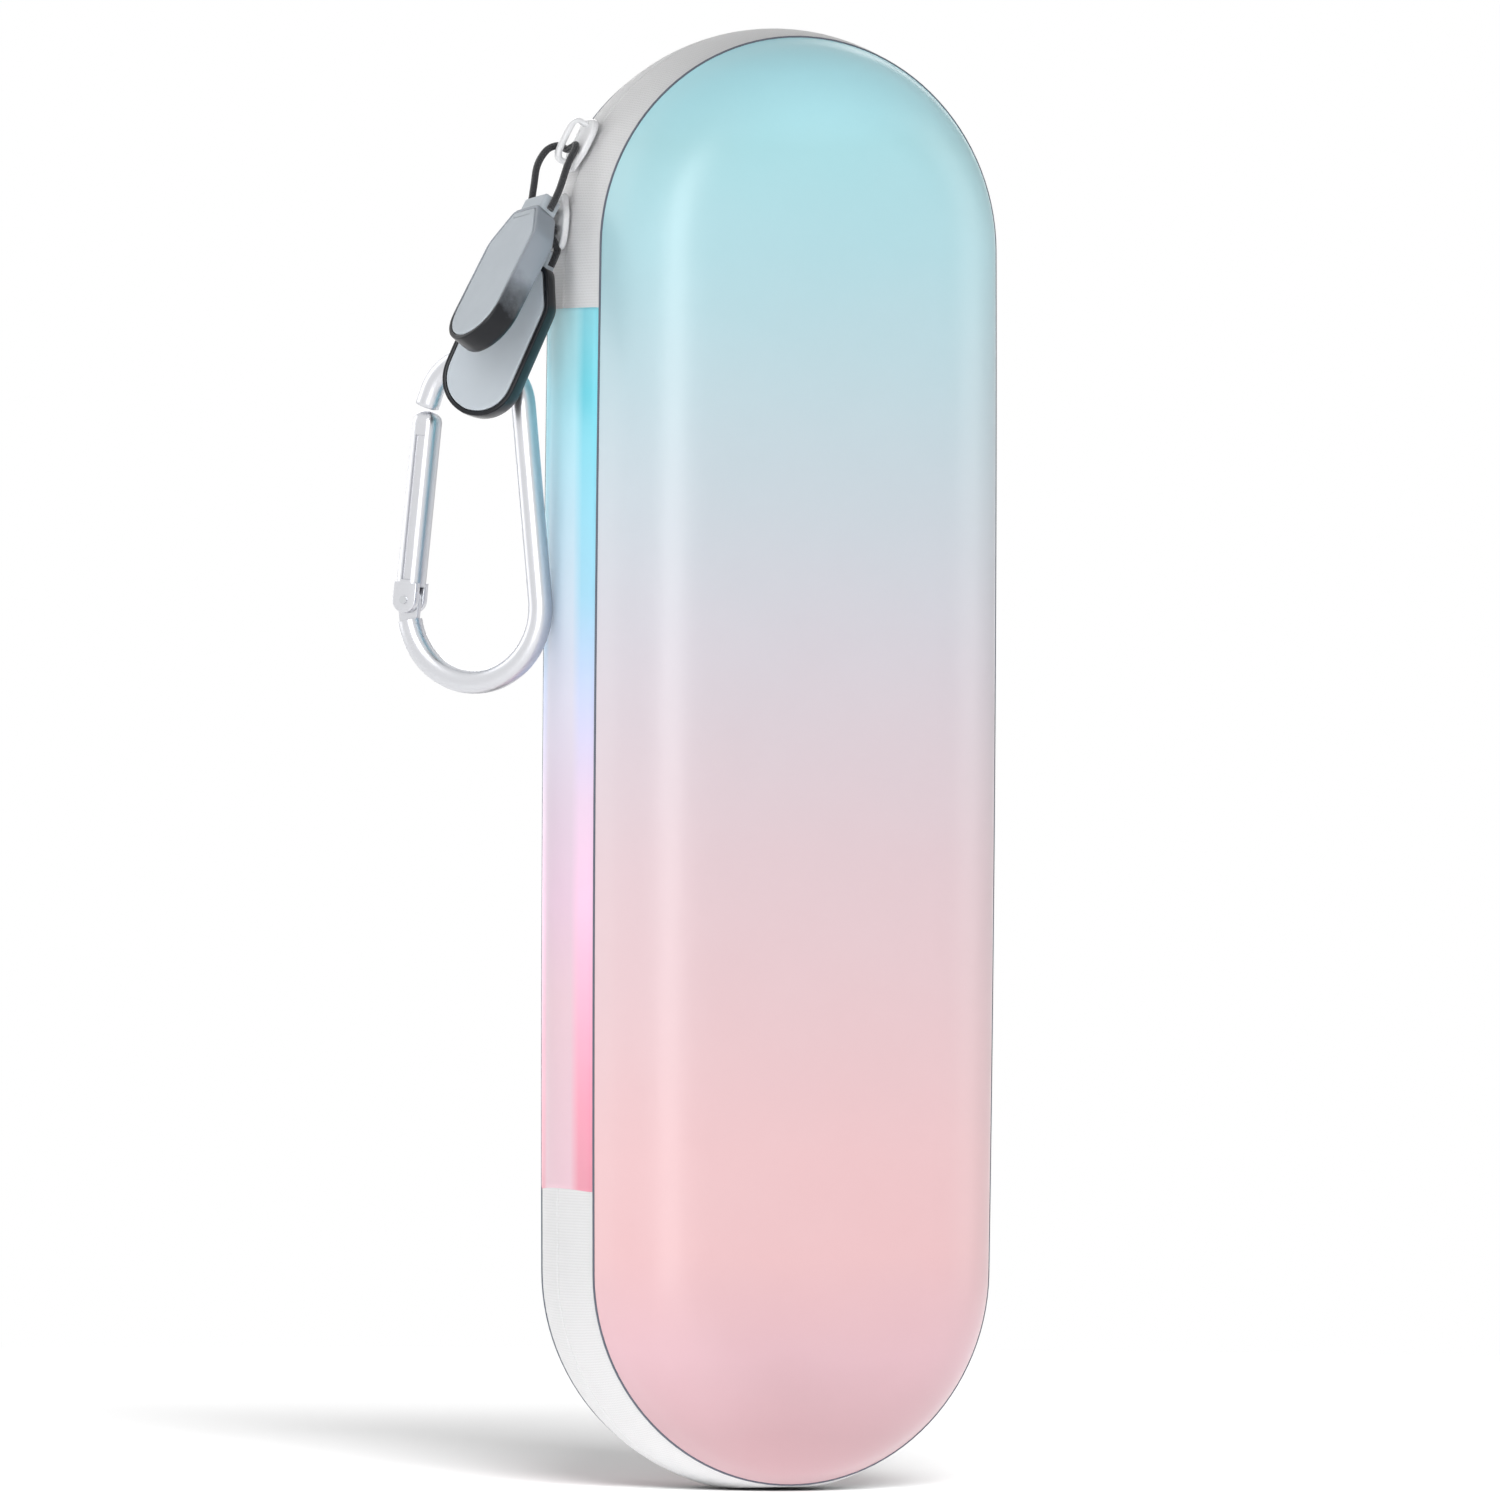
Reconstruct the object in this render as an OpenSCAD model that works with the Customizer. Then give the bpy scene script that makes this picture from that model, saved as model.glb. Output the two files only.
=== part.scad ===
// Electric toothbrush travel case, standing on its lower end.
// Units are millimetres. +Z runs up the case, the lid faces -Y, the fabric spine is at -X.
// The origin is on the floor under the middle of the case, in the plane of the zip.

/* [Case] */
// Width of one moulded shell at its rim
shell_w = 67.6; // [64:0.2:72]
// Length of one moulded shell at its rim
shell_h = 232; // [215:1:245]
// Depth of each moulded shell beyond the zip band
dome_d = 13.2; // [12:0.2:15]
// Radius that rolls each shell over into its flat face
edge_r = 16; // [14:0.5:17]
// Inward lean of the shell wall at its rim, in degrees
wall_lean = 22; // [18:1:26]
// Thickness of the moulded and covered shell wall
wall_t = 2.2; // [1.8:0.1:2.6]
// Thickness of the lining inside each shell
lining_t = 0.6; // [0.4:0.1:0.8]

/* [Zip band] */
// Depth of the whole band from shell to shell
band_d = 24.6; // [22:0.2:27]
// How far the band swells out past the shells
band_bulge = 1.7; // [1.2:0.1:2]
// Thickness of the zip tape
tape_t = 0.9; // [0.7:0.05:1]
// Height at which the spine strip starts
spine_bottom = 48.7; // [45:0.1:55]
// Height at which the spine strip ends
spine_top = 188; // [180:0.5:190]
// Depth of the flat on which the case stands
foot_flat = 0.9; // [0.7:0.1:1.2]

/* [Sliders and pulls] */
// Angle of slider 1 on the top arc, from the zip side
slider_1_at = 154; // [150:1:156]
// Angle of slider 2 on the top arc
slider_2_at = 174; // [173:0.5:175]
// Length of a pull
pull_l = 29.5; // [27:0.5:31]
// Width of a pull
pull_w = 13; // [11:0.5:13]
// Thickness of a pull
pull_t = 4.5; // [4:0.1:4.5]
// Diameter of the black cord
cord_d = 1.2; // [1:0.1:1.2]

/* [Carabiner] */
// Overall height of the carabiner
ring_h = 56; // [52:1:58]
// Diameter of its rod
ring_rod = 3.8; // [3.4:0.1:4]

/* [Interior] */
// Radius of the trough for the brush handle
trough_r = 14.5; // [13:0.5:16]
// Height of the mesh pocket's upper edge
pocket_top = 150; // [120:5:170]

/* [Hidden] */
$fn = 96;
shell_r = shell_w / 2;
band_half = band_d / 2;
band_r = shell_r + band_bulge;
z_low = band_r - foot_flat;
z_high = z_low + shell_h - shell_w;
case_top = z_high + band_r;
// Circle that the band's cross-section follows
bulge_r = (band_half * band_half + band_bulge * band_bulge) / (2 * band_bulge);
bulge_x = band_r - bulge_r;
// Rolled edge of a shell: its straight leaning wall, and the centre of its round
wall_run = (dome_d - edge_r * (1 - sin(wall_lean))) / cos(wall_lean);
roll_x = shell_r - wall_run * sin(wall_lean) - edge_r * cos(wall_lean);
roll_y = band_half + dome_d - edge_r;
face_y = band_half + dome_d;
// Half gap between the two tapes, which lets a slider's post through
slit = 0.45;
coil_r = 0.7;
coil_x = band_r - tape_t - coil_r - 0.05;
stop_l = 2.6;
stop_w = 4.6;
stop_sunk = 0.2;
stop_gap = 0.5;
coil_gap = 0.8;
binding_in = 1.1;
binding_up = 2.2;
binding_lap = 0.3;
// Interior
skin = wall_t + lining_t;
foam_gap = 0.3;
inner_reach = roll_x + (edge_r - skin) * cos(wall_lean) - 1;
foam_top = band_half + binding_up + 0.4;
trough_y = 7;
handle_low = 28;
handle_high = 178;
head_high = 218;
head_r = 7.5;
head_y = 11;
strap_t = 0.8;
strap_w = 20;
strap_z = [66, 158];
pocket_y = band_half + binding_up + 0.2;
pocket_t = 0.7;
hem_r = 1.1;
// Sliders, in their own frame: X along the zip, Y across it, Z outward from the band's crest
plate_z = 0.6;
plate_t = 1.1;
plate_l = 9.4;
plate_w = 8;
tail_w = 5.8;
inner_l = 8.2;
inner_w = 6.1;
inner_plate_t = 0.9;
flange_t = 0.5;
flange_h = 1.7;
inner_z = coil_x - coil_r - band_r - 0.75;
post_l = 2.4;
post_w = 0.6;
bow_h = 2.8;
bow_w = 1.8;
bow_l = 8;
bow_t = 0.9;
bow_r = 1.3;
eye_z = plate_z + plate_t + cord_d / 2 + 0.15;
strand_y = 2.6;
neck_y = 2.1;
strand_short = 0.3;
// Pulls, in their own frame: Z down the pull from the slider's eye, Y across its width
end_r = pull_w / 2 - 0.1;
neck_l = 2.8;
neck_w = 5.8;
neck_t = pull_t - 1.2;
root_w = neck_w + 0.6;
shoulder_l = 8.8;
inlay_in = 1;
inlay_d = 0.7;
pull_edge = 0.9;
eye_x = -1;
cord_1 = 11;
bulge_1 = 2.8;
lift_1 = 0;
lean_1 = 7;
yaw_1 = -18;
twist_1 = -10;
cord_2 = 3.4;
bulge_2 = 0.8;
lift_2 = 1;
lean_2 = 16;
yaw_2 = 8;
twist_2 = -50;
// Carabiner, in its own frame: X toward the case, Z up, origin at its middle
ring_x = -46.2;
ring_y = 11.6;
ring_z = 155.2;
ring_turn = -47;
top_r = 8.6;
bottom_r = 11.9;
top_z = ring_h / 2 - ring_rod / 2 - top_r;
bottom_z = -ring_h / 2 + ring_rod / 2 + bottom_r;
side_a = asin((bottom_r - top_r) / (top_z - bottom_z));
nose_a = 160;
// The straight side laps into both arcs, a hair thinner than they are
side_lap = 0.5;
side_in = 0.03;
gate_r = 2.1;
gate_gap = 0.35;
lug_t = 1.2;
lug_r = 2;
lug_reach = 4.2;
lug_w = 3.2;
lip_x = -1;
lip_z = -1.6;
lip_r = 1;
pin_r = 0.7;
pivot = [-bottom_r * cos(side_a), bottom_z + bottom_r * sin(side_a)];
gate_top = [-top_r * cos(side_a), top_z + top_r * sin(side_a)];
gate_tilt = atan2(gate_top[0] - pivot[0], gate_top[1] - pivot[1]);
gate_tip = norm(gate_top - pivot) - gate_r - gate_gap - 0.7;
disc_r = 2.1;
fork_gap = 0.1;
fork_top = 2.2;
channel_w = 1.3;
channel_floor = -0.6;
channel_end = 2.9;
groove_w = 1.4;
groove_d = 0.35;
groove_from = 3.4;
spring_x = -0.85;
spring_r = 0.25;
spring_from = 4;
spring_l = 14;
eye_r = 2.65;
tie_x = 1.5;
knot_r = 1.2;
knot_up = 0.7;

// ---- Shared forms -------------------------------------------------------------------

// Sweeps a half profile (X outward from the case's centre line, Y toward the lid) round both ends
module ends() {
    for (z = [z_low, z_high])
        translate([0, 0, z])
            rotate([90, 0, 0])
                rotate([0, 0, z == z_low ? 180 : 0])
                    rotate_extrude(angle = 180)
                        children();
}

// The same half profile along the straight side at +X
module zip_side() {
    translate([0, 0, z_low])
        linear_extrude(z_high - z_low)
            mirror([0, 1])
                children();
}

// The same half profile along the straight side at -X, between two heights
module spine_side(from, to) {
    translate([0, 0, from])
        linear_extrude(to - from)
            rotate(180)
                children();
}

// A closed stadium solid from a half profile that starts at the middle
module capsule() {
    ends()
        children();
    zip_side()
        children();
    spine_side(z_low, z_high)
        children();
}

// Half of a shell's cross-section, drawn in by a wall thickness, from a height above the zip plane
module dome_half(inset, from) {
    r = edge_r - inset;
    foot = [roll_x + r * cos(wall_lean), roll_y + r * sin(wall_lean)];
    drop = foot[1] - from;
    intersection() {
        union() {
            polygon([[0, from], [foot[0] + drop * tan(wall_lean), from], foot,
                [roll_x, roll_y], [roll_x, roll_y + r], [0, roll_y + r]]);
            translate([roll_x, roll_y])
                circle(r);
        }
        translate([0, from])
            square([shell_w, face_y - from]);
    }
}

// Cross-section of the swelling band between two depths
module band_section(from, to) {
    intersection() {
        difference() {
            translate([bulge_x, 0])
                circle(bulge_r);
            translate([bulge_x, 0])
                circle(bulge_r - tape_t);
        }
        translate([shell_r - 4, from])
            square([band_bulge + 5, to - from]);
    }
}

// Everything above the floor
module standing() {
    intersection() {
        children();
        translate([-shell_w, -shell_w, 0])
            cube([2 * shell_w, 2 * shell_w, case_top + 1]);
    }
}

// Runs a half profile along the zip, from near the spine's top, over both ends, to its lower edge
module along_zip(short) {
    ends()
        children();
    zip_side()
        children();
    spine_side(z_low, spine_bottom - short)
        children();
    spine_side(spine_top + short, z_high)
        children();
}

// Round bar between two points
module bar(from, to, r) {
    way = to - from;
    translate(from)
        rotate([0, acos(way[2] / norm(way)), atan2(way[1], way[0])])
            cylinder(h = norm(way), r = r);
}

// ---- Shells --------------------------------------------------------------------------

module shell() {
    difference() {
        capsule()
            dome_half(0, band_half);
        capsule()
            dome_half(wall_t, band_half - 1);
    }
}

module lining() {
    difference() {
        capsule()
            dome_half(wall_t, band_half + binding_up + 0.1);
        capsule()
            dome_half(skin, band_half);
    }
}

// Tape sewn over the seam inside the rim
module binding() {
    rim = shell_r - wall_t / cos(wall_lean) - 0.02;
    up = rim - binding_up * tan(wall_lean);
    outer = shell_r - tape_t - binding_lap;
    profile = [[rim, band_half], [up, band_half + binding_up], [up - binding_in, band_half + binding_up],
        [rim - binding_in, band_half - binding_in], [outer, band_half - binding_in], [outer, band_half]];
    ends()
        polygon(profile);
    zip_side()
        polygon(profile);
    spine_side(z_low, z_high)
        polygon(profile);
}

module zip_tape() {
    standing()
        along_zip(0)
            band_section(slit, band_half);
}

module zip_coil() {
    along_zip(stop_l + coil_gap)
        translate([coil_x, slit + coil_r])
            circle(coil_r);
}

module back() {
    mirror([0, 1, 0])
        children();
}

module front_shell() {
    color([0.80, 0.80, 0.86])
        shell();
}

module back_shell() {
    color([0.80, 0.80, 0.86])
        back()
            shell();
}

module front_lining() {
    color([0.35, 0.36, 0.40])
        lining();
}

module back_lining() {
    color([0.35, 0.36, 0.40])
        back()
            lining();
}

module front_binding() {
    color([0.25, 0.25, 0.28])
        binding();
}

module back_binding() {
    color([0.25, 0.25, 0.28])
        back()
            binding();
}

module front_zip_tape() {
    color([0.89, 0.89, 0.89])
        zip_tape();
}

module back_zip_tape() {
    color([0.89, 0.89, 0.89])
        back()
            zip_tape();
}

module front_zip_coil() {
    color([0.82, 0.82, 0.83])
        zip_coil();
}

module back_zip_coil() {
    color([0.82, 0.82, 0.83])
        back()
            zip_coil();
}

// Covering carried from shell to shell: the fabric hinge
module spine_strip() {
    color([0.75, 0.80, 0.92])
        spine_side(spine_bottom, spine_top)
            band_section(-band_half, band_half);
}

module zip_stop(z) {
    color([0.80, 0.80, 0.80])
        translate([stop_sunk - coil_x - coil_r, -stop_w / 2, z])
            cube([2 * coil_r - stop_sunk, stop_w, stop_l]);
}

module upper_zip_stop() {
    zip_stop(spine_top + stop_gap);
}

module lower_zip_stop() {
    zip_stop(spine_bottom - stop_gap - stop_l);
}

// ---- Interior ------------------------------------------------------------------------

// Moulded foam that fills the back shell round the brush's handle and head
module foam_cradle() {
    color([0.42, 0.43, 0.47])
        difference() {
            back()
                capsule()
                    dome_half(skin + foam_gap, foam_top);
            translate([0, trough_y, handle_low + trough_r])
                cylinder(h = handle_high - handle_low - 2 * trough_r, r = trough_r);
            for (z = [handle_low + trough_r, handle_high - trough_r])
                translate([0, trough_y, z])
                    sphere(trough_r);
            translate([0, head_y, handle_high - trough_r])
                cylinder(h = head_high - handle_high + trough_r, r = head_r);
            translate([0, head_y, head_high])
                sphere(head_r);
        }
}

module strap(z) {
    color([0.20, 0.20, 0.22])
        translate([-inner_reach, foam_top - strap_t, z - strap_w / 2])
            cube([2 * inner_reach, strap_t, strap_w]);
}

module lower_strap() {
    strap(strap_z[0]);
}

module upper_strap() {
    strap(strap_z[1]);
}

// Net pocket across the lower part of the lid
module mesh_pocket() {
    color([0.30, 0.30, 0.33])
        translate([0, -pocket_y, 0])
            rotate([90, 0, 0])
                linear_extrude(pocket_t) {
                    translate([0, z_low])
                        circle(inner_reach);
                    translate([-inner_reach, z_low])
                        square([2 * inner_reach, pocket_top - z_low]);
                }
}

module pocket_hem() {
    color([0.12, 0.12, 0.13])
        translate([-inner_reach, -pocket_y - pocket_t / 2, pocket_top + hem_r])
            rotate([0, 90, 0])
                cylinder(h = 2 * inner_reach, r = hem_r);
}

// ---- Sliders -------------------------------------------------------------------------

// Puts a slider's own frame on the top arc; X runs clockwise along the zip
module on_arc(at) {
    translate([0, 0, z_high])
        rotate([0, 90 - at, 0])
            translate([0, 0, band_r])
                children();
}

module slider_body() {
    nose = plate_l / 2;
    inner_low = inner_z - inner_plate_t;
    color([0.90, 0.90, 0.91]) {
        // Outer plate, wide at the nose and narrow at the tail
        translate([0, 0, plate_z])
            linear_extrude(plate_t)
                intersection() {
                    translate([-nose, -plate_w / 2])
                        square([plate_l, plate_w]);
                    translate([nose - plate_w / 2 - 1, 0])
                        circle(plate_w / 2 + 1);
                    union() {
                        translate([-nose, -tail_w / 2])
                            square([plate_l, tail_w]);
                        translate([-nose / 4, -plate_w / 2])
                            square([plate_l, plate_w]);
                    }
                }
        // Inner plate with its flanges beside the coils
        translate([-inner_l / 2, -inner_w / 2, inner_low])
            cube([inner_l, inner_w, inner_plate_t]);
        for (side = [-1, 1])
            translate([-inner_l / 2, side * (inner_w - flange_t) / 2 - flange_t / 2, inner_low])
                cube([inner_l, flange_t, flange_h]);
        // Post between the plates
        translate([-post_l / 2, -post_w / 2, inner_z - inner_plate_t / 2])
            cube([post_l, post_w, plate_z + plate_t / 2 - inner_z + inner_plate_t / 2]);
    }
}

// Arched bow over the outer plate, which holds the cord
module slider_bow() {
    inner_r = bow_r - bow_t + 0.3;
    color([0.95, 0.95, 0.96])
        translate([0, bow_w / 2, plate_z + plate_t])
            rotate([90, 0, 0])
                linear_extrude(bow_w)
                    difference() {
                        arch(bow_l, bow_h, bow_r);
                        translate([0, -1])
                            arch(bow_l - 2 * bow_t, bow_h - bow_t + 1, inner_r);
                    }
}

// Upright opening or block with two rounded upper corners
module arch(l, h, r) {
    translate([-l / 2, 0])
        square([l, h - r]);
    translate([r - l / 2, 0])
        square([l - 2 * r, h]);
    for (x = [-1, 1])
        translate([x * (l / 2 - r), h - r])
            circle(r);
}

module slider_1() {
    on_arc(slider_1_at)
        slider_body();
}

module slider_1_bow() {
    on_arc(slider_1_at)
        slider_bow();
}

module slider_2() {
    on_arc(slider_2_at)
        mirror([1, 0, 0])
            slider_body();
}

module slider_2_bow() {
    on_arc(slider_2_at)
        mirror([1, 0, 0])
            slider_bow();
}

// ---- Pulls ---------------------------------------------------------------------------

// From a slider's frame to its pull's: Z runs down the pull, which lies back along the zip
module hang(at, lean, yaw) {
    on_arc(at)
        translate([eye_x, 0, eye_z])
            rotate([0, lean, 0])
                rotate([0, 0, -yaw])
                    rotate([0, -90, 0])
                        children();
}

// Outline of a pull without its neck, drawn in by an inset: sloping shoulders and a round end
module pull_outline(inset) {
    side = end_r - inset;
    root = root_w / 2 - inset;
    end_x = pull_l - end_r;
    translate([end_x, 0])
        circle(side + 0.01);
    polygon([[neck_l + inset, -root], [shoulder_l, -side], [end_x, -side],
        [end_x, side], [shoulder_l, side], [neck_l + inset, root]]);
}

// Rounded slab of the pull's outline, thick across Z, with the flat neck that holds the cord
module pull_slab() {
    hull() {
        translate([0, 0, -pull_t / 2 + pull_edge])
            linear_extrude(pull_t - 2 * pull_edge)
                pull_outline(0, $fn = 48);
        translate([0, 0, -pull_t / 2])
            linear_extrude(pull_t)
                pull_outline(pull_edge, $fn = 48);
    }
    translate([0, -neck_w / 2, -neck_t / 2])
        cube([neck_l + 2, neck_w, neck_t]);
}

// Turns a flat outline (X along, Y across, Z its face) into the hanging pull's frame
module as_pull(twist, cord) {
    rotate([0, 0, twist])
        translate([0, 0, cord])
            rotate([0, 90, 0])
                mirror([1, 0, 0])
                    children();
}

module pull_core(twist, cord) {
    color([0.45, 0.47, 0.50])
        as_pull(twist, cord)
            difference() {
                pull_slab();
                translate([0, 0, pull_t / 2 - inlay_d])
                    linear_extrude(pull_t)
                        pull_outline(inlay_in);
            }
}

module pull_inlay(twist, cord) {
    color([0.73, 0.76, 0.79])
        as_pull(twist, cord)
            translate([0, 0, pull_t / 2 - inlay_d])
                linear_extrude(inlay_d + 0.1)
                    pull_outline(inlay_in + 0.05);
}

// Cord loop: under the bow, one strand straight and one bulging, down to the pull's neck.
// The strands meet the neck off its middle by a lift across its thickness.
module pull_cord(twist, cord, bulge, lift) {
    r = cord_d / 2;
    foot = neck_y * [-sin(twist), cos(twist)] - lift * [cos(twist), sin(twist)];
    near = [0, -strand_y, 0];
    far = [0, strand_y, 0];
    belly = [bulge, strand_y, cord * 0.4];
    color([0.05, 0.05, 0.06]) {
        bar(near, far, r);
        for (turn = [near, far, belly])
            translate(turn)
                sphere(r + 0.03);
        bar(near, [-foot[0], -foot[1], cord - strand_short], r);
        bar(far, belly, r);
        bar(belly, [foot[0], foot[1], cord - strand_short], r);
    }
}

module pull_1_core() {
    hang(slider_1_at, lean_1, yaw_1)
        pull_core(twist_1, cord_1);
}

module pull_1_inlay() {
    hang(slider_1_at, lean_1, yaw_1)
        pull_inlay(twist_1, cord_1);
}

module pull_1_cord() {
    hang(slider_1_at, lean_1, yaw_1)
        pull_cord(twist_1, cord_1, bulge_1, lift_1);
}

module pull_2_core() {
    hang(slider_2_at, lean_2, yaw_2)
        pull_core(twist_2, cord_2);
}

module pull_2_inlay() {
    hang(slider_2_at, lean_2, yaw_2)
        pull_inlay(twist_2, cord_2);
}

module pull_2_cord() {
    hang(slider_2_at, lean_2, yaw_2)
        pull_cord(twist_2, cord_2, bulge_2, lift_2);
}

// ---- Carabiner -----------------------------------------------------------------------

module ring_frame() {
    translate([ring_x, ring_y, ring_z])
        rotate([0, 0, ring_turn])
            children();
}

// Part of a round-rod arc in the carabiner's plane
module rod_arc(z, r, from, to) {
    translate([0, 0, z])
        rotate([90, 0, 0])
            rotate([0, 0, from])
                rotate_extrude(angle = to - from)
                    translate([r, 0])
                        circle(ring_rod / 2);
}

// A disc on the gate's pivot
module pivot_disc(r, t) {
    translate([pivot[0], t / 2, pivot[1]])
        rotate([90, 0, 0])
            cylinder(h = t, r = r);
}

// Flat tongue at the lower end, which the gate's fork straddles
module pivot_lug() {
    difference() {
        translate([0, lug_t / 2, 0])
            rotate([90, 0, 0])
                linear_extrude(lug_t)
                    union() {
                        translate(pivot)
                            circle(lug_r);
                        translate([pivot[0] - lug_w / 2, pivot[1] - lug_reach])
                            square([lug_w, lug_reach]);
                    }
        pivot_disc(pin_r, 2 * ring_rod);
    }
}

module carabiner_frame() {
    top_side = [top_r * cos(side_a), 0, top_z + top_r * sin(side_a)];
    low_side = [bottom_r * cos(side_a), 0, bottom_z + bottom_r * sin(side_a)];
    way = (top_side - low_side) / norm(top_side - low_side);
    nose = [top_r * cos(nose_a), 0, top_z + top_r * sin(nose_a)];
    color([0.86, 0.87, 0.88])
        ring_frame() {
            rod_arc(top_z, top_r, side_a, nose_a);
            rod_arc(bottom_z, bottom_r, 190, 360 + side_a);
            bar(low_side - way * side_lap, top_side + way * side_lap, ring_rod / 2 - side_in);
            // Nose of the hook, with its lip outside the gate
            translate(nose)
                sphere(ring_rod / 2 + 0.05);
            translate([nose[0] + lip_x, 0, nose[2] + lip_z])
                sphere(lip_r);
            pivot_lug();
        }
}

// The gate's own frame: Z up its bar from the pivot, -X outward
module gate_frame() {
    translate([pivot[0], 0, pivot[1]])
        rotate([0, gate_tilt, 0])
            children();
}

// Gate: a bar with a spring channel down its outer side, a shallow groove down each face,
// and a fork at its pivot
module carabiner_gate() {
    color([0.90, 0.91, 0.92])
        ring_frame()
            difference() {
                union() {
                    gate_frame()
                        cylinder(h = gate_tip, r = gate_r);
                    gate_frame()
                        translate([0, 0, gate_tip])
                            sphere(gate_r + 0.03);
                    pivot_disc(disc_r, 2 * gate_r + 0.2);
                }
                gate_frame()
                    translate([channel_floor - gate_r, -channel_w / 2, -disc_r - 1])
                        cube([gate_r, channel_w, gate_tip + disc_r + 1 - channel_end]);
                for (side = [-1, 1])
                    gate_frame()
                        translate([-groove_w / 2, side * gate_r - groove_d, groove_from])
                            cube([groove_w, 2 * groove_d, gate_tip - 2 * groove_from]);
                // Slot of the fork
                translate([pivot[0] - disc_r - 1, -lug_t / 2 - fork_gap, pivot[1] - disc_r - 1])
                    cube([2 * disc_r + 2, lug_t + 2 * fork_gap, disc_r + 1 + fork_top]);
                pivot_disc(pin_r, 2 * ring_rod);
            }
}

module gate_pin() {
    color([0.70, 0.71, 0.72])
        ring_frame()
            pivot_disc(pin_r - 0.04, 2 * gate_r + 0.6);
}

// Wire spring that lies in the gate's channel
module gate_spring() {
    color([0.60, 0.61, 0.62])
        ring_frame()
            gate_frame()
                translate([spring_x, 0, spring_from])
                    cylinder(h = spring_l, r = spring_r);
}

// Black cord that ties the carabiner to slider 2's bow
module lanyard() {
    r = cord_d / 2;
    doubled = r + 0.3;
    top_bar = [ring_x, ring_y, ring_z + top_z + top_r + 0.05];
    knot = top_bar + [0, 0, eye_r + knot_up];
    arm = z_high + (band_r + eye_z) * cos(90 - slider_2_at) - tie_x * sin(90 - slider_2_at);
    side = (band_r + eye_z) * sin(90 - slider_2_at) + tie_x * cos(90 - slider_2_at);
    bend = [side, 5, arm - 1];
    color([0.05, 0.05, 0.06]) {
        translate(top_bar)
            rotate([0, 0, ring_turn])
                rotate([0, 90, 0])
                    rotate_extrude()
                        translate([eye_r, 0])
                            circle(r);
        translate(knot)
            sphere(knot_r);
        bar(knot, bend, doubled);
        translate(bend)
            sphere(doubled + 0.05);
        bar(bend, [side, -1.4, arm], r);
    }
}

back_shell();
back_lining();
back_binding();
back_zip_tape();
back_zip_coil();
spine_strip();
foam_cradle();
lower_strap();
upper_strap();
upper_zip_stop();
lower_zip_stop();
front_shell();
front_lining();
front_binding();
front_zip_tape();
front_zip_coil();
mesh_pocket();
pocket_hem();
slider_1();
slider_1_bow();
pull_1_cord();
pull_1_core();
pull_1_inlay();
slider_2();
slider_2_bow();
pull_2_cord();
pull_2_core();
pull_2_inlay();
lanyard();
carabiner_frame();
carabiner_gate();
gate_pin();
gate_spring();
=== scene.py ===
"""Looks for the toothbrush travel case: covered shells, zip, pulls, carabiner and the inside."""
import bpy, bmesh, math
from mathutils import Matrix, Vector, noise

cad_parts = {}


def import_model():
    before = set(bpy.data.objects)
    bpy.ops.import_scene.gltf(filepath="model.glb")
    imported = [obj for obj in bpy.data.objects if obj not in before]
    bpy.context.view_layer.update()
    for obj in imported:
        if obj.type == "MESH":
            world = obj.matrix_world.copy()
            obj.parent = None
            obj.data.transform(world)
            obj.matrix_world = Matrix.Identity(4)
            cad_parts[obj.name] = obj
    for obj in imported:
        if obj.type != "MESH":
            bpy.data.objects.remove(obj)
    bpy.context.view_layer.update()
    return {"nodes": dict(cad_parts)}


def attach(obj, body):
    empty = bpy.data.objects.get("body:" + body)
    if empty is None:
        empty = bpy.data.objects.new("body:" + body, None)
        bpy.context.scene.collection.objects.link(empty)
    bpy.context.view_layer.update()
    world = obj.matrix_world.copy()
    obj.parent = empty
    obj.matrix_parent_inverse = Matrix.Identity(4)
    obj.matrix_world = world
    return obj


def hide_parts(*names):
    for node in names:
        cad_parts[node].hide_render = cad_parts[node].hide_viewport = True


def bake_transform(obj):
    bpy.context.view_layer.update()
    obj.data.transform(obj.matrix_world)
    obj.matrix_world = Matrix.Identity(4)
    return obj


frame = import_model()

# Sizes are in millimetres and match the solids
MM = 0.001
SHELL_R, BAND_HALF, BAND_R = 33.8, 12.3, 35.5
Z_LOW, Z_HIGH, CASE_TOP = 34.6, 199.0, 234.5
STRIP_LOW, STRIP_HIGH = 48.7, 188.0
EDGE_R, ROLL_X, ROLL_Y, WALL_LEAN, CROWN = 16.0, 17.67, 9.5, 22.0, 3.5
WALL_T, LINING_T, TAPE_T = 2.2, 0.6, 0.9
# The zip band swells past the shells on an arc, and the case's sides bow a little
SWELL = BAND_R - SHELL_R
BULGE_R = (BAND_HALF ** 2 + SWELL ** 2) / (2 * SWELL)
BULGE_X = BAND_R - BULGE_R
SIDE_BOW = 0.024
FOOT_GAP = 0.02
# The two halves: side of the zip's plane, body, and the word in their pieces' names
HALVES = ((-1, "lid", "front"), (1, "base", "back"))


# ---- Placing and meshing ----

def turn(axis, degrees):
    return Matrix.Rotation(math.radians(degrees), 4, axis)


def shift(x, y, z):
    return Matrix.Translation((x, y, z))


def bowed(p):
    """The case's sides bow out by under a millimetre at mid height."""
    t = (p[2] - CASE_TOP / 2) / (CASE_TOP / 2)
    return Vector((p[0] * (1 + SIDE_BOW * (0.4 - t * t)), p[1], p[2]))


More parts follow.
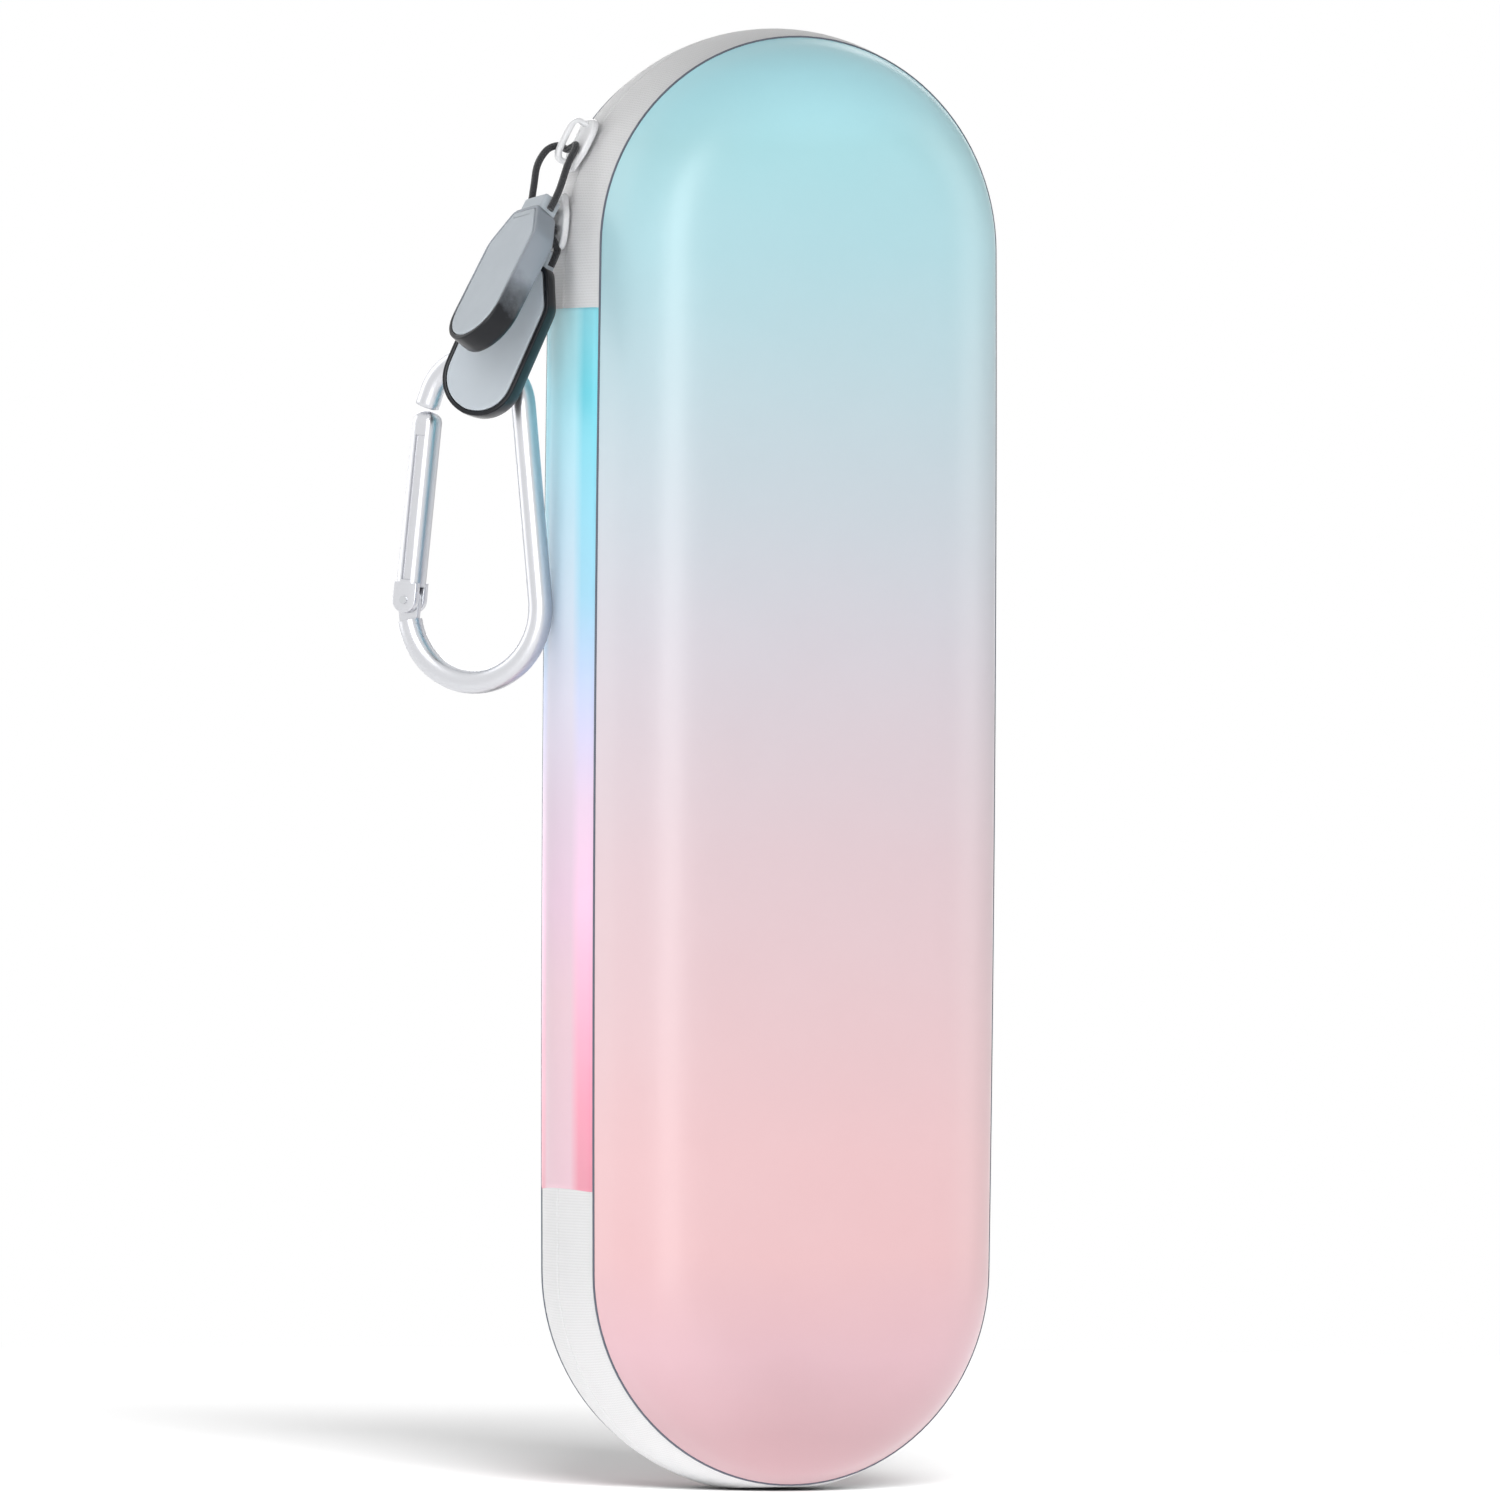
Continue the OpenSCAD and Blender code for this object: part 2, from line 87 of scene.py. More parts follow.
def mesh_piece(name, points, faces, finish, uv, place=None, crease=35, bow=False, merge=0.0):
    """A mesh in millimetres, placed by a matrix, with its texture coordinates in millimetres."""
    made = []
    for p in points:
        p = Vector(p)
        if place is not None:
            p = place @ p
        made.append((bowed(p) if bow else p) * MM)
    mesh = bpy.data.meshes.new(name)
    mesh.from_pydata(made, [], faces)
    layer = mesh.uv_layers.new(name="cloth")
    for loop in mesh.loops:
        layer.data[loop.index].uv = uv[loop.vertex_index]
    work = bmesh.new()
    work.from_mesh(mesh)
    if merge:
        bmesh.ops.remove_doubles(work, verts=work.verts, dist=merge * MM)
    bmesh.ops.recalc_face_normals(work, faces=work.faces)
    work.to_mesh(mesh)
    work.free()
    mesh.shade_smooth()
    mesh.set_sharp_from_angle(angle=math.radians(crease))
    mesh.materials.append(finish)
    piece = bpy.data.objects.new(name, mesh)
    bpy.context.scene.collection.objects.link(piece)
    return piece


def dress(piece, body, slot, *nodes):
    """Rides the piece on its body, in place of its CAD solids."""
    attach(piece, body)
    if nodes:
        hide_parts(*nodes)


def grid_faces(rows, columns, close_rows=False, close_columns=False):
    faces = []
    for i in range(rows if close_rows else rows - 1):
        for j in range(columns if close_columns else columns - 1):
            k, n = (i + 1) % rows, (j + 1) % columns
            faces.append((i * columns + j, i * columns + n, k * columns + n, k * columns + j))
    return faces


def bar_faces(rows, columns):
    """Faces round a closed section, row after row, with a cap on each end."""
    faces = grid_faces(rows, columns, close_columns=True)
    faces.append(tuple(range(columns)))
    faces.append(tuple(range((rows - 1) * columns, rows * columns)))
    return faces


def circle(r, count):
    """Points (across, up) once round a circle."""
    return [(r * math.cos(2 * math.pi * k / count), r * math.sin(2 * math.pi * k / count))
            for k in range(count)]


def arc(r, first, last, step, x=0.0, y=0.0):
    """Points on an arc round (x, y), from the first to the last degree."""
    return [(x + r * math.cos(math.radians(d)), y + r * math.sin(math.radians(d)))
            for d in range(first, last + 1, step)]


def bent(value, power):
    """A cosine or sine that squares a circle's points up."""
    return math.copysign(abs(value) ** power, value)


def squarish(half_w, half_h, power_w, power_h, count, start=0.0):
    """Points (across, up) once round a rounded rectangle."""
    rows = []
    for k in range(count):
        a = 2 * math.pi * (k + start) / count
        rows.append((half_w * bent(math.cos(a), power_w), half_h * bent(math.sin(a), power_h)))
    return rows


def all_round(side=42, end=56):
    """Stations (direction, centre height) once round the case, from the zip side's lower end."""
    stops = [(0, Z_LOW + (Z_HIGH - Z_LOW) * i / side) for i in range(side)]
    stops += [(180 * i / end, Z_HIGH) for i in range(end)]
    stops += [(180, Z_HIGH - (Z_HIGH - Z_LOW) * i / side) for i in range(side)]
    stops += [(180 + 180 * i / end, Z_LOW) for i in range(end)]
    return stops


def along_zip(short, pitch):
    """Stations from the strip's upper end over both ends of the case to the strip's lower end."""
    end = max(24, int(math.pi * BAND_R / pitch))
    up = max(2, int((Z_HIGH - STRIP_HIGH) / pitch) + 1)
    side = max(8, int((Z_HIGH - Z_LOW) / pitch))
    down = max(2, int((STRIP_LOW - Z_LOW) / pitch) + 1)
    start, stop = STRIP_HIGH + short, STRIP_LOW - short
    stops = [(180, start + (Z_HIGH - start) * i / up) for i in range(up)]
    stops += [(180 - 180 * i / end, Z_HIGH) for i in range(end)]
    stops += [(0, Z_HIGH - (Z_HIGH - Z_LOW) * i / side) for i in range(side)]
    stops += [(-180 * i / end, Z_LOW) for i in range(end)]
    stops += [(-180, Z_LOW + (stop - Z_LOW) * i / down) for i in range(down + 1)]
    return stops


def at_station(station, r, y):
    way, centre = math.radians(station[0]), station[1]
    return Vector((r * math.cos(way), y, centre + r * math.sin(way)))


def swept(name, profile, stations, finish, closed_run, closed_profile=True, crease=35, merge=0.0,
          stands=False):
    """A profile of (distance from the centre line, depth) points, run round the case."""
    points, uv, run, last = [], [], 0.0, None
    reach = max(r for r, y in profile)
    for station in stations:
        here = at_station(station, BAND_R, 0)
        run += (here - last).length if last is not None else 0.0
        last = here
        across = 0.0
        for k, (r, y) in enumerate(profile):
            if k:
                across += math.dist(profile[k - 1], profile[k])
            p = at_station(station, r, y)
            if stands:
                # Pressed flat where the case stands, the inner layers above the outer ones
                p.z = max(p.z, FOOT_GAP + 0.4 * (reach - r))
            points.append(p)
            uv.append((run, across))
    if closed_profile and not closed_run:
        faces = bar_faces(len(stations), len(profile))
    else:
        faces = grid_faces(len(stations), len(profile), closed_run, closed_profile)
    return mesh_piece(name, points, faces, finish, uv, crease=crease, bow=True, merge=merge)


def smooth_path(knots, steps):
    """A smooth line through the knots."""
    knots = [Vector(k) for k in knots]
    out = []
    for i, (b, c) in enumerate(zip(knots, knots[1:])):
        a = knots[i - 1] if i else b + (b - c)
        d = knots[i + 2] if i + 2 < len(knots) else c + (c - b)
        for k in range(steps):
            t = k / steps
            out.append(0.5 * (2 * b + (c - a) * t + (2 * a - 5 * b + 4 * c - d) * t * t
                              + (3 * b - a - 3 * c + d) * t ** 3))
    return out + [knots[-1]]


def tube(name, path, section, finish, place=None, closed=False, crease=35):
    """Carries a section, a list of (sideways, upward) points or a radius, along a path."""
    if not isinstance(section, list):
        section = circle(section, 14)
    n = len(path)
    points, uv, run = [], [], 0.0
    side = None
    around = [0.0]
    for k in range(1, len(section)):
        around.append(around[-1] + math.dist(section[k - 1], section[k]))
    for i, p in enumerate(path):
        ahead = path[(i + 1) % n] if closed or i + 1 < n else p
        behind = path[i - 1] if closed or i else p
        way = (ahead - behind).normalized()
        if side is None:
            side = way.orthogonal().normalized()
            for guess in (Vector((0, 1, 0)), Vector((1, 0, 0))):
                if abs(way.dot(guess)) < 0.6:
                    side = (guess - way * way.dot(guess)).normalized()
                    break
        else:
            side = (side - way * way.dot(side)).normalized()
        up = way.cross(side)
        run += (p - path[i - 1]).length if i else 0.0
        for k, (a, b) in enumerate(section):
            points.append(p + side * a + up * b)
            uv.append((run, around[k]))
    m = len(section)
    faces = grid_faces(n, m, True, True) if closed else bar_faces(n, m)
    return mesh_piece(name, points, faces, finish, uv, place, crease)


def joined(name, *pieces):
    """One object from several."""
    bpy.ops.object.select_all(action="DESELECT")
    for p in pieces:
        p.select_set(True)
    bpy.context.view_layer.objects.active = pieces[0]
    bpy.ops.object.join()
    pieces[0].name = name
    return pieces[0]


def plate(name, edge, low, high, round_off, finish, place=None):
    """A flat plate from its outline, with rounded edges on both faces."""
    centre = sum((Vector((x, y)) for x, y in edge), Vector((0, 0))) / len(edge)
    rings = []
    steps = 4
    for step in range(steps + 1):
        a = math.radians(90 * step / steps)
        rings.append((round_off * (1 - math.sin(a)), low + round_off * (1 - math.cos(a))))
    rings += [(d, high - (z - low)) for d, z in reversed(rings)]
    points = []
    n = len(edge)
    for inset, z in rings:
        for i, (x, y) in enumerate(edge):
            before, after = Vector(edge[i - 1]), Vector(edge[(i + 1) % n])
            along = (after - before).normalized()
            out = Vector((along.y, -along.x))
            if out.dot(Vector((x, y)) - centre) < 0:
                out = -out
            points.append((x - out.x * inset, y - out.y * inset, z))
    uv = [(x, y) for x, y, z in points]
    return mesh_piece(name, points, bar_faces(len(rings), n), finish, uv, place, 40)


# ---- Shader groups and finishes ----

def srgb(*levels, share=1.0):
    """Colour from levels of 0 to 255, darkened to the given share of them."""
    shares = [level * share / 255 for level in levels]
    return [c / 12.92 if c <= 0.04045 else ((c + 0.055) / 1.055) ** 2.4 for c in shares] + [1.0]


class Nodes:
    """Adds and links the nodes of one tree."""

    def __init__(self, tree):
        self.tree = tree

    def add(self, kind, **values):
        node = self.tree.nodes.new(kind)
        for key, value in values.items():
            if key in node.inputs:
                self.put(node.inputs[key], value)
            else:
                setattr(node, key, value)
        return node

    def put(self, socket, value):
        if isinstance(value, bpy.types.NodeSocket):
            self.tree.links.new(value, socket)
        else:
            socket.default_value = value

    def math(self, operation, a, b=0.0, c=0.0):
        node = self.tree.nodes.new("ShaderNodeMath")
        node.operation = operation
        for socket, value in zip(node.inputs, (a, b, c)):
            self.put(socket, value)
        return node.outputs[0]

    def mix(self, factor, a, b):
        """Colour a where the factor is 0 and b where it is 1."""
        node = self.tree.nodes.new("ShaderNodeMix")
        node.data_type = "RGBA"
        # A colour mix has its factor in socket 0 and its colours in sockets 6 and 7
        for place, value in ((0, factor), (6, a), (7, b)):
            self.put(node.inputs[place], value)
        return node.outputs[2]

    def spread(self, value, low, high, to_low, to_high):
        node = self.tree.nodes.new("ShaderNodeMapRange")
        for socket, v in zip(node.inputs, (value, low, high, to_low, to_high)):
            self.put(socket, v)
        return node.outputs[0]

    def scaled(self, vector, factor):
        node = self.add("ShaderNodeVectorMath", operation="SCALE")
        self.put(node.inputs[0], vector)
        self.put(node.inputs["Scale"], factor)
        return node.outputs[0]

    def axis(self, vector, letter):
        return self.add("ShaderNodeSeparateXYZ", Vector=vector).outputs[letter]


def group(name, inputs, outputs):
    tree = bpy.data.node_groups.new(name, "ShaderNodeTree")
    for label, kind, value in inputs:
        socket = tree.interface.new_socket(label, in_out="INPUT", socket_type=kind)
        if value is not None:
            socket.default_value = value
    for label in outputs:
        tree.interface.new_socket(label, in_out="OUTPUT", socket_type="NodeSocketFloat")
    n = Nodes(tree)
    return tree, n, n.add("NodeGroupInput"), n.add("NodeGroupOutput")


def weave_group():
    """Plain weave from coordinates in millimetres: the threads' height, 0 between them."""
    tree, n, given, out = group("plain_weave", [
        ("Place", "NodeSocketVector", None), ("Threads per mm", "NodeSocketFloat", 2.0),
        ("Slub", "NodeSocketFloat", 0.15)], ["Height"])
    place = given.outputs["Place"]
    wander = n.add("ShaderNodeTexNoise", Vector=place, Scale=0.9, Detail=2.0)
    wobble = n.math("MULTIPLY", n.math("SUBTRACT", wander.outputs[0], 0.5), given.outputs["Slub"])
    rate = n.math("MULTIPLY", given.outputs["Threads per mm"], math.pi)
    warp, weft = [
        n.math("SINE", n.math("MULTIPLY", n.math("ADD", n.axis(place, letter), wobble), rate))
        for letter in "XY"]
    over = n.math("GREATER_THAN", n.math("MULTIPLY", warp, weft), 0.0)
    under = n.math("SUBTRACT", 1.0, over)
    height = n.math("ADD", n.math("MULTIPLY", over, n.math("ABSOLUTE", warp)),
                    n.math("MULTIPLY", under, n.math("ABSOLUTE", weft)))
    n.put(out.inputs["Height"], height)
    return tree


def grain_group():
    """Fine pebbled grain of a coated fabric, with soft unevenness."""
    tree, n, given, out = group("coated_grain", [
        ("Place", "NodeSocketVector", None), ("Pebbles per mm", "NodeSocketFloat", 2.2)],
        ["Height", "Unevenness"])
    place = given.outputs["Place"]
    small = n.scaled(place, given.outputs["Pebbles per mm"])
    pebble = n.add("ShaderNodeTexVoronoi", feature="SMOOTH_F1", Vector=small, Scale=1.0)
    fine = n.add("ShaderNodeTexNoise", Vector=small, Scale=2.6, Detail=3.0)
    broad = n.add("ShaderNodeTexNoise", Vector=place, Scale=0.05, Detail=2.0)
    n.put(out.inputs["Height"], n.math("ADD", n.math("MULTIPLY", pebble.outputs["Distance"], -0.8),
                                       n.math("MULTIPLY", fine.outputs[0], 0.35)))
    n.put(out.inputs["Unevenness"], broad.outputs[0])
    return tree


def handling_group():
    """Faint smudges and small specks from being handled."""
    tree, n, given, out = group("handling", [
        ("Place", "NodeSocketVector", None), ("Patch size mm", "NodeSocketFloat", 12.0)],
        ["Smudge", "Speck"])
    sized = n.scaled(given.outputs["Place"], n.math("DIVIDE", 1.0, given.outputs["Patch size mm"]))
    patch = n.add("ShaderNodeTexNoise", Vector=sized, Scale=1.0, Detail=4.0, Roughness=0.6)
    speck = n.add("ShaderNodeTexNoise", Vector=sized, Scale=23.0, Detail=1.0)
    n.put(out.inputs["Smudge"], n.spread(patch.outputs[0], 0.35, 0.7, 0.0, 1.0))
    n.put(out.inputs["Speck"], n.spread(speck.outputs[0], 0.62, 0.72, 0.0, 1.0))
    return tree


WEAVE, GRAIN, HANDLING = weave_group(), grain_group(), handling_group()


class Finish(Nodes):
    """A material with its Principled shader and coordinates in millimetres."""

    def __init__(self, name, **constants):
        self.material = bpy.data.materials.new(name)
        self.material.use_nodes = True
        super().__init__(self.material.node_tree)
        self.shader = self.tree.nodes["Principled BSDF"]
        for key, value in constants.items():
            self.shader.inputs[key.replace("_", " ")].default_value = value
        self.coordinates = self.add("ShaderNodeTexCoord")

    def place(self, of="Object"):
        """Object or UV coordinates in millimetres. The pieces' UVs already are."""
        found = self.coordinates.outputs[of]
        return self.scaled(found, 1 / MM) if of == "Object" else found

    def use(self, tree, **values):
        node = self.tree.nodes.new("ShaderNodeGroup")
        node.node_tree = tree
        for key, value in values.items():
            self.put(node.inputs[key.replace("_", " ")], value)
        return node

    def bump(self, height, depth_mm, strength):
        node = self.add("ShaderNodeBump", Height=height, Distance=depth_mm * MM, Strength=strength)
        self.put(self.shader.inputs["Normal"], node.outputs[0])

    def color(self, value):
        self.put(self.shader.inputs["Base Color"], value)

    def rough(self, value):
        self.put(self.shader.inputs["Roughness"], value)

    def handled(self, patch_mm):
        return self.use(HANDLING, Place=self.place(), Patch_size_mm=patch_mm)

    def smudged(self, hand, share, clean, soiled):
        return self.mix(self.math("MULTIPLY", hand.outputs["Smudge"], share), clean, soiled)

    def rubbed(self, hand, clean, soiled):
        self.rough(self.spread(hand.outputs["Smudge"], 0.0, 1.0, clean, soiled))

    def ramp(self, factor, stops):
        node = self.add("ShaderNodeValToRGB")
        bar = node.color_ramp
        bar.elements[0].position, bar.elements[0].color = stops[0]
        bar.elements[1].position, bar.elements[1].color = stops[-1]
        for where, colour in stops[1:-1]:
            bar.elements.new(where).color = colour
        self.put(node.inputs[0], factor)
        return node.outputs[0]


# Height in millimetres at which the colour ramps end
OMBRE_H = 240.0


def up_the_case(stops):
    """Ramp stops from (height in mm, r, g, b) rows."""
    return [(z / OMBRE_H, srgb(r, g, b)) for z, r, g, b in stops]


# Pink below, lavender grey at mid height, cyan above. On the shells the top stop is lifted as
# painted light on the upper end, and the lowest stops are darker towards the bottom end
SHELL_OMBRE_AND_TOP_LIGHT = up_the_case([
    (9, 197, 159, 165), (22, 218, 178, 186), (38, 228, 186, 189), (54, 228, 188, 191),
    (102, 216, 193, 199), (135, 204, 199, 207), (199, 169, 209, 217), (215, 164, 213, 220),
    (226, 174, 230, 240)])
# The strip's stops at 175 and 187 mm are lifted as painted light where the pulls shade the strip
STRIP_OMBRE_AND_TOP_LIGHT = up_the_case([
    (50, 228, 190, 202), (78, 227, 193, 204), (94, 225, 192, 213), (110, 217, 198, 216),
    (127, 214, 213, 230), (159, 186, 226, 241), (175, 176, 240, 253), (187, 188, 246, 255)])
# Painted shade: deeper, darker colours for the strip's sides next to the seams
STRIP_SEAM_SHADE = up_the_case([
    (50, 227, 144, 164), (62, 241, 153, 178), (94, 246, 197, 227), (110, 229, 203, 227),
    (127, 196, 207, 241), (143, 152, 209, 234), (175, 112, 216, 233), (187, 134, 217, 231)])


def cover_finish():
    """Semi-gloss coated fabric, dyed from pink to cyan up the shells, with painted light on their
    upper end.
    """
    f = Finish("ombre_cover", Coat_Weight=0.5, Coat_Roughness=0.3, Coat_IOR=1.45)
    place = f.place()
    grain = f.use(GRAIN, Place=place, Pebbles_per_mm=2.4)
    hand = f.handled(26.0)
    # The dye's height wanders by a few millimetres
    height = f.math("ADD", f.axis(place, "Z"), -2.5)
    drift = f.math("MULTIPLY_ADD", grain.outputs["Unevenness"], 5.0, height)
    # Painted light: the ramp's top stop lightens the shells' upper end
    base = f.ramp(f.math("DIVIDE", drift, OMBRE_H), SHELL_OMBRE_AND_TOP_LIGHT)
    f.color(f.smudged(hand, 0.03, base, srgb(240, 240, 245)))
    f.rubbed(hand, 0.40, 0.46)
    f.bump(grain.outputs["Height"], 0.02, 0.25)
    return f.material


def strip_ombre_and_painted_light():
    """The same fabric on the spine strip, deeper in colour towards its seams as painted shade, and
    lighter near its top as painted light.
    """
    f = Finish("ombre_strip_painted_light", Coat_Weight=0.3, Coat_Roughness=0.35)
    place = f.place()
    height = f.math("DIVIDE", f.axis(place, "Z"), OMBRE_H)
    from_middle = f.math("ABSOLUTE", f.axis(f.place("UV"), "Y"))
    seam_shade_mask = f.spread(from_middle, 5.6, 8.4, 0.0, 1.0)
    grain = f.use(GRAIN, Place=place, Pebbles_per_mm=2.4)
    # Painted shade: the seam ramp deepens and darkens the colour towards both seams
    f.color(f.mix(seam_shade_mask, f.ramp(height, STRIP_OMBRE_AND_TOP_LIGHT), f.ramp(height, STRIP_SEAM_SHADE)))
    f.rough(f.spread(grain.outputs["Unevenness"], 0.3, 0.7, 0.40, 0.48))
    f.bump(grain.outputs["Height"], 0.02, 0.25)
    return f.material


def woven_finish(name, rgb, threads, depth, dark=0.75, of="UV", rough=0.85, slub=0.15):
    """Woven cloth: threads per millimetre, and how dark the painted shade between them is."""
    f = Finish(name, Sheen_Weight=0.25, Sheen_Roughness=0.5)
    laid = f.place(of)
    if of == "Object":
        # The cloth's threads run across and up the case
        laid = f.add("ShaderNodeMapping", Vector=laid, Rotation=(-math.pi / 2, 0, 0)).outputs[0]
    weave = f.use(WEAVE, Place=laid, Threads_per_mm=threads, Slub=slub)
    height = weave.outputs["Height"]
    # Painted shade: the cloth is darker between its threads
    low = srgb(*rgb, share=dark)
    f.color(f.smudged(f.handled(9.0), 0.08, f.mix(height, low, srgb(*rgb)), low))
    f.rough(f.spread(height, 0.0, 1.0, min(1.0, rough + 0.1), rough))
    f.bump(height, depth, 0.6)
    return f.material


def braid_finish():
    """Round braided cord: the weave turned by 45 degrees."""
    f = Finish("braided_cord", Sheen_Weight=0.3, Sheen_Roughness=0.4)
    tilted = f.add("ShaderNodeMapping", Vector=f.place("UV"), Rotation=(0, 0, math.pi / 4))
    weave = f.use(WEAVE, Place=tilted.outputs[0], Threads_per_mm=2.6, Slub=0.05)
    height = weave.outputs["Height"]
    # Painted shade: the cord is darker between its threads
    f.color(f.mix(height, srgb(14, 14, 16), srgb(44, 45, 49)))
    f.rough(f.spread(height, 0.0, 1.0, 0.8, 0.55))
    f.bump(height, 0.12, 0.8)
    return f.material


def moulded_finish(name, rgb, rough, coat=0.0):
    f = Finish(name, Coat_Weight=coat, Coat_Roughness=0.15)
    grain = f.use(GRAIN, Place=f.place(), Pebbles_per_mm=4.0)
    hand = f.handled(5.0)
    f.color(f.smudged(hand, 0.12, srgb(*rgb), srgb(*rgb, share=0.9)))
    f.rubbed(hand, rough, rough + 0.12)
    f.bump(grain.outputs["Height"], 0.01, 0.3)
    return f.material


def pull_side_painted_reflection(name, fade_from, fade_to):
    """Pull body: near black, with a painted grey reflection from its neck that fades to black
    between the given mm along the pull.
    """
    f = Finish(name, Coat_Weight=0.12, Coat_Roughness=0.2, Specular_IOR_Level=0.25)
    hand = f.handled(4.0)
    # Painted reflection: grey near the neck, with streaks, going over to near black
    reflection_streak = f.math("MULTIPLY", hand.outputs["Smudge"], 2.5)
    along = f.math("ADD", f.axis(f.place("UV"), "X"), reflection_streak)
    fade = f.spread(along, fade_from, fade_to, 0.0, 1.0)
    f.color(f.mix(fade, srgb(150, 157, 166), srgb(20, 22, 27)))
    f.rubbed(hand, 0.28, 0.4)
    return f.material


def metal_finish(name, rgb, rough):
    """Bare metal with fine drawn lines, long across and short up the case."""
    f = Finish(name, Metallic=1.0)
    drawn = f.add("ShaderNodeMapping", Vector=f.place(), Scale=(1.0, 1.0, 14.0))
    lines = f.add("ShaderNodeTexNoise", Vector=drawn.outputs[0], Scale=1.2, Detail=4.0)
    hand = f.handled(7.0)
    f.color(f.smudged(hand, 0.15, srgb(*rgb), srgb(*rgb, share=0.93)))
    dulled = f.math("MULTIPLY_ADD", hand.outputs["Smudge"], 0.06, rough)
    f.rough(f.math("MULTIPLY_ADD", lines.outputs[0], 0.1, dulled))
    f.bump(lines.outputs[0], 0.01, 0.3)
    return f.material


def net_finish():
    """Fine hexagon-like net: threads stay, holes are open."""
    f = Finish("pocket_net", Roughness=0.8, Sheen_Weight=0.2)
    place = f.place("UV")
    cells = f.add("ShaderNodeTexVoronoi", feature="DISTANCE_TO_EDGE", Vector=place, Scale=0.75,
                  Randomness=0.25)
    thread = f.spread(cells.outputs["Distance"], 0.13, 0.19, 1.0, 0.0)
    weave = f.use(WEAVE, Place=place, Threads_per_mm=4.0)
    # Painted shade: the net is darker between its threads
    f.color(f.mix(weave.outputs["Height"], srgb(45, 46, 52), srgb(86, 88, 96)))
    f.put(f.shader.inputs["Alpha"], thread)
    return f.material


def enamel_finish():
    f = Finish("white_enamel", Coat_Weight=0.6, Coat_Roughness=0.08)
    hand = f.handled(4.0)
    speck = f.math("MULTIPLY", hand.outputs["Speck"], 0.35)
    f.color(f.mix(speck, srgb(232, 233, 235), srgb(176, 178, 182)))
    f.rubbed(hand, 0.24, 0.36)
    return f.material


cover, strip_cover = cover_finish(), strip_ombre_and_painted_light()
zip_cloth = woven_finish("zip_tape_cloth", (227, 227, 228), 2.2, 0.05, dark=0.93, rough=0.75)
# Painted shade: a dark cord stands for the shadow gap along the seams
seam_shade_cord = woven_finish("seam_shade_cord", (104, 110, 124), 3.0, 0.05, dark=0.8)
lining_cloth = woven_finish("lining_knit", (126, 129, 138), 1.4, 0.12, 0.8, "Object", slub=0.4)
binding_cloth = woven_finish("binding_cloth", (84, 86, 93), 1.6, 0.12, dark=0.7)
foam_cloth = woven_finish("cradle_cloth", (116, 119, 128), 1.1, 0.15, 0.82, "Object", slub=0.5)
elastic = woven_finish("woven_elastic", (44, 45, 49), 1.3, 0.15, dark=0.6)
cord_braid = braid_finish()
coil_nylon = moulded_finish("coil_nylon", (214, 215, 218), 0.38)
pull_face = moulded_finish("pull_face", (186, 194, 201), 0.42, 0.1)
enamel = enamel_finish()
satin = metal_finish("satin_aluminium", (212, 213, 217), 0.24)
pin_steel = metal_finish("pin_steel", (200, 202, 205), 0.3)
net = net_finish()


# ---- Shells ----

def dome_profile(inset, foot_y, from_centre):
    """Cross-section of a shell's skin between its rim and the centre line, crowned a little."""
    r = EDGE_R - inset
    lean, crown = math.radians(WALL_LEAN), math.radians(CROWN)
    foot = (ROLL_X + r * math.cos(lean), ROLL_Y + r * math.sin(lean))
    rows = []
    wall_steps, roll_steps = 4, 22
    for i in range(wall_steps):
        y = foot_y + (foot[1] - foot_y) * i / wall_steps
        rows.append((foot[0] + (foot[1] - y) * math.tan(lean), y))
    for i in range(roll_steps + 1):
        a = lean + (math.pi / 2 - crown - lean) * i / roll_steps
        rows.append((ROLL_X + r * math.cos(a), ROLL_Y + r * math.sin(a)))
    end, high = rows[-1]
    big = end / math.sin(crown)
    for share in (0.86, 0.7, 0.54, 0.38, 0.24, 0.12, 0.0):
        across = end * share
        rise = math.sqrt(big * big - across * across) - math.sqrt(big * big - end * end)
        rows.append((across, high + rise))
    return rows[::-1] if from_centre else rows


def shell(which, side, body):
    """Covered shell: its outer skin, its rim folded in and its inner skin."""
    outer = dome_profile(0, BAND_HALF + 0.75, True)
    rim = [(33.66, BAND_HALF + 0.3), (33.52, BAND_HALF + 0.08), (33.2, BAND_HALF),
           (32.0, BAND_HALF)]
    inner = dome_profile(WALL_T, BAND_HALF + 0.1, False)
    profile = [(r, side * y) for r, y in outer + rim + inner]
    piece = swept(which + "_shell_cover", profile, all_round(), cover, True, False, merge=0.001)
    dress(piece, body, "shell_cover", which + "_shell")


def lining(which, side, body):
    edge_y, glue_gap = BAND_HALF + 2.4, 0.03
    back = dome_profile(WALL_T + glue_gap, edge_y, True)
    face = dome_profile(WALL_T + LINING_T, edge_y, False)
    profile = [(r, side * y) for r, y in back + face]
    piece = swept(which + "_lining_cloth", profile, all_round(30, 40), lining_cloth, True, False,
                  merge=0.001)
    dress(piece, body, "lining_cloth", which + "_lining")


def binding(which, side, body):
    """Tape folded over the shell's inner rim and the lining's edge."""
    lean = math.radians(WALL_LEAN)
    rim = SHELL_R - WALL_T / math.cos(lean)
    up = rim - WALL_T * math.tan(lean)
    corner = [(rim, 12.32), (up + 0.05, 14.3), (up - 0.35, 14.55), (up - 0.9, 14.4),
              (up - 1.1, 13.9), (rim - 1.15, 12.1), (rim - 1.0, 11.5), (rim - 0.5, 11.25),
              (32.3, 11.25), (32.55, 11.5), (32.55, 12.0), (32.3, 12.25)]
    profile = [(r, side * y) for r, y in corner]
    piece = swept(which + "_binding_tape", profile, all_round(), binding_cloth, True, crease=50)
    dress(piece, body, "binding_cloth", which + "_binding")


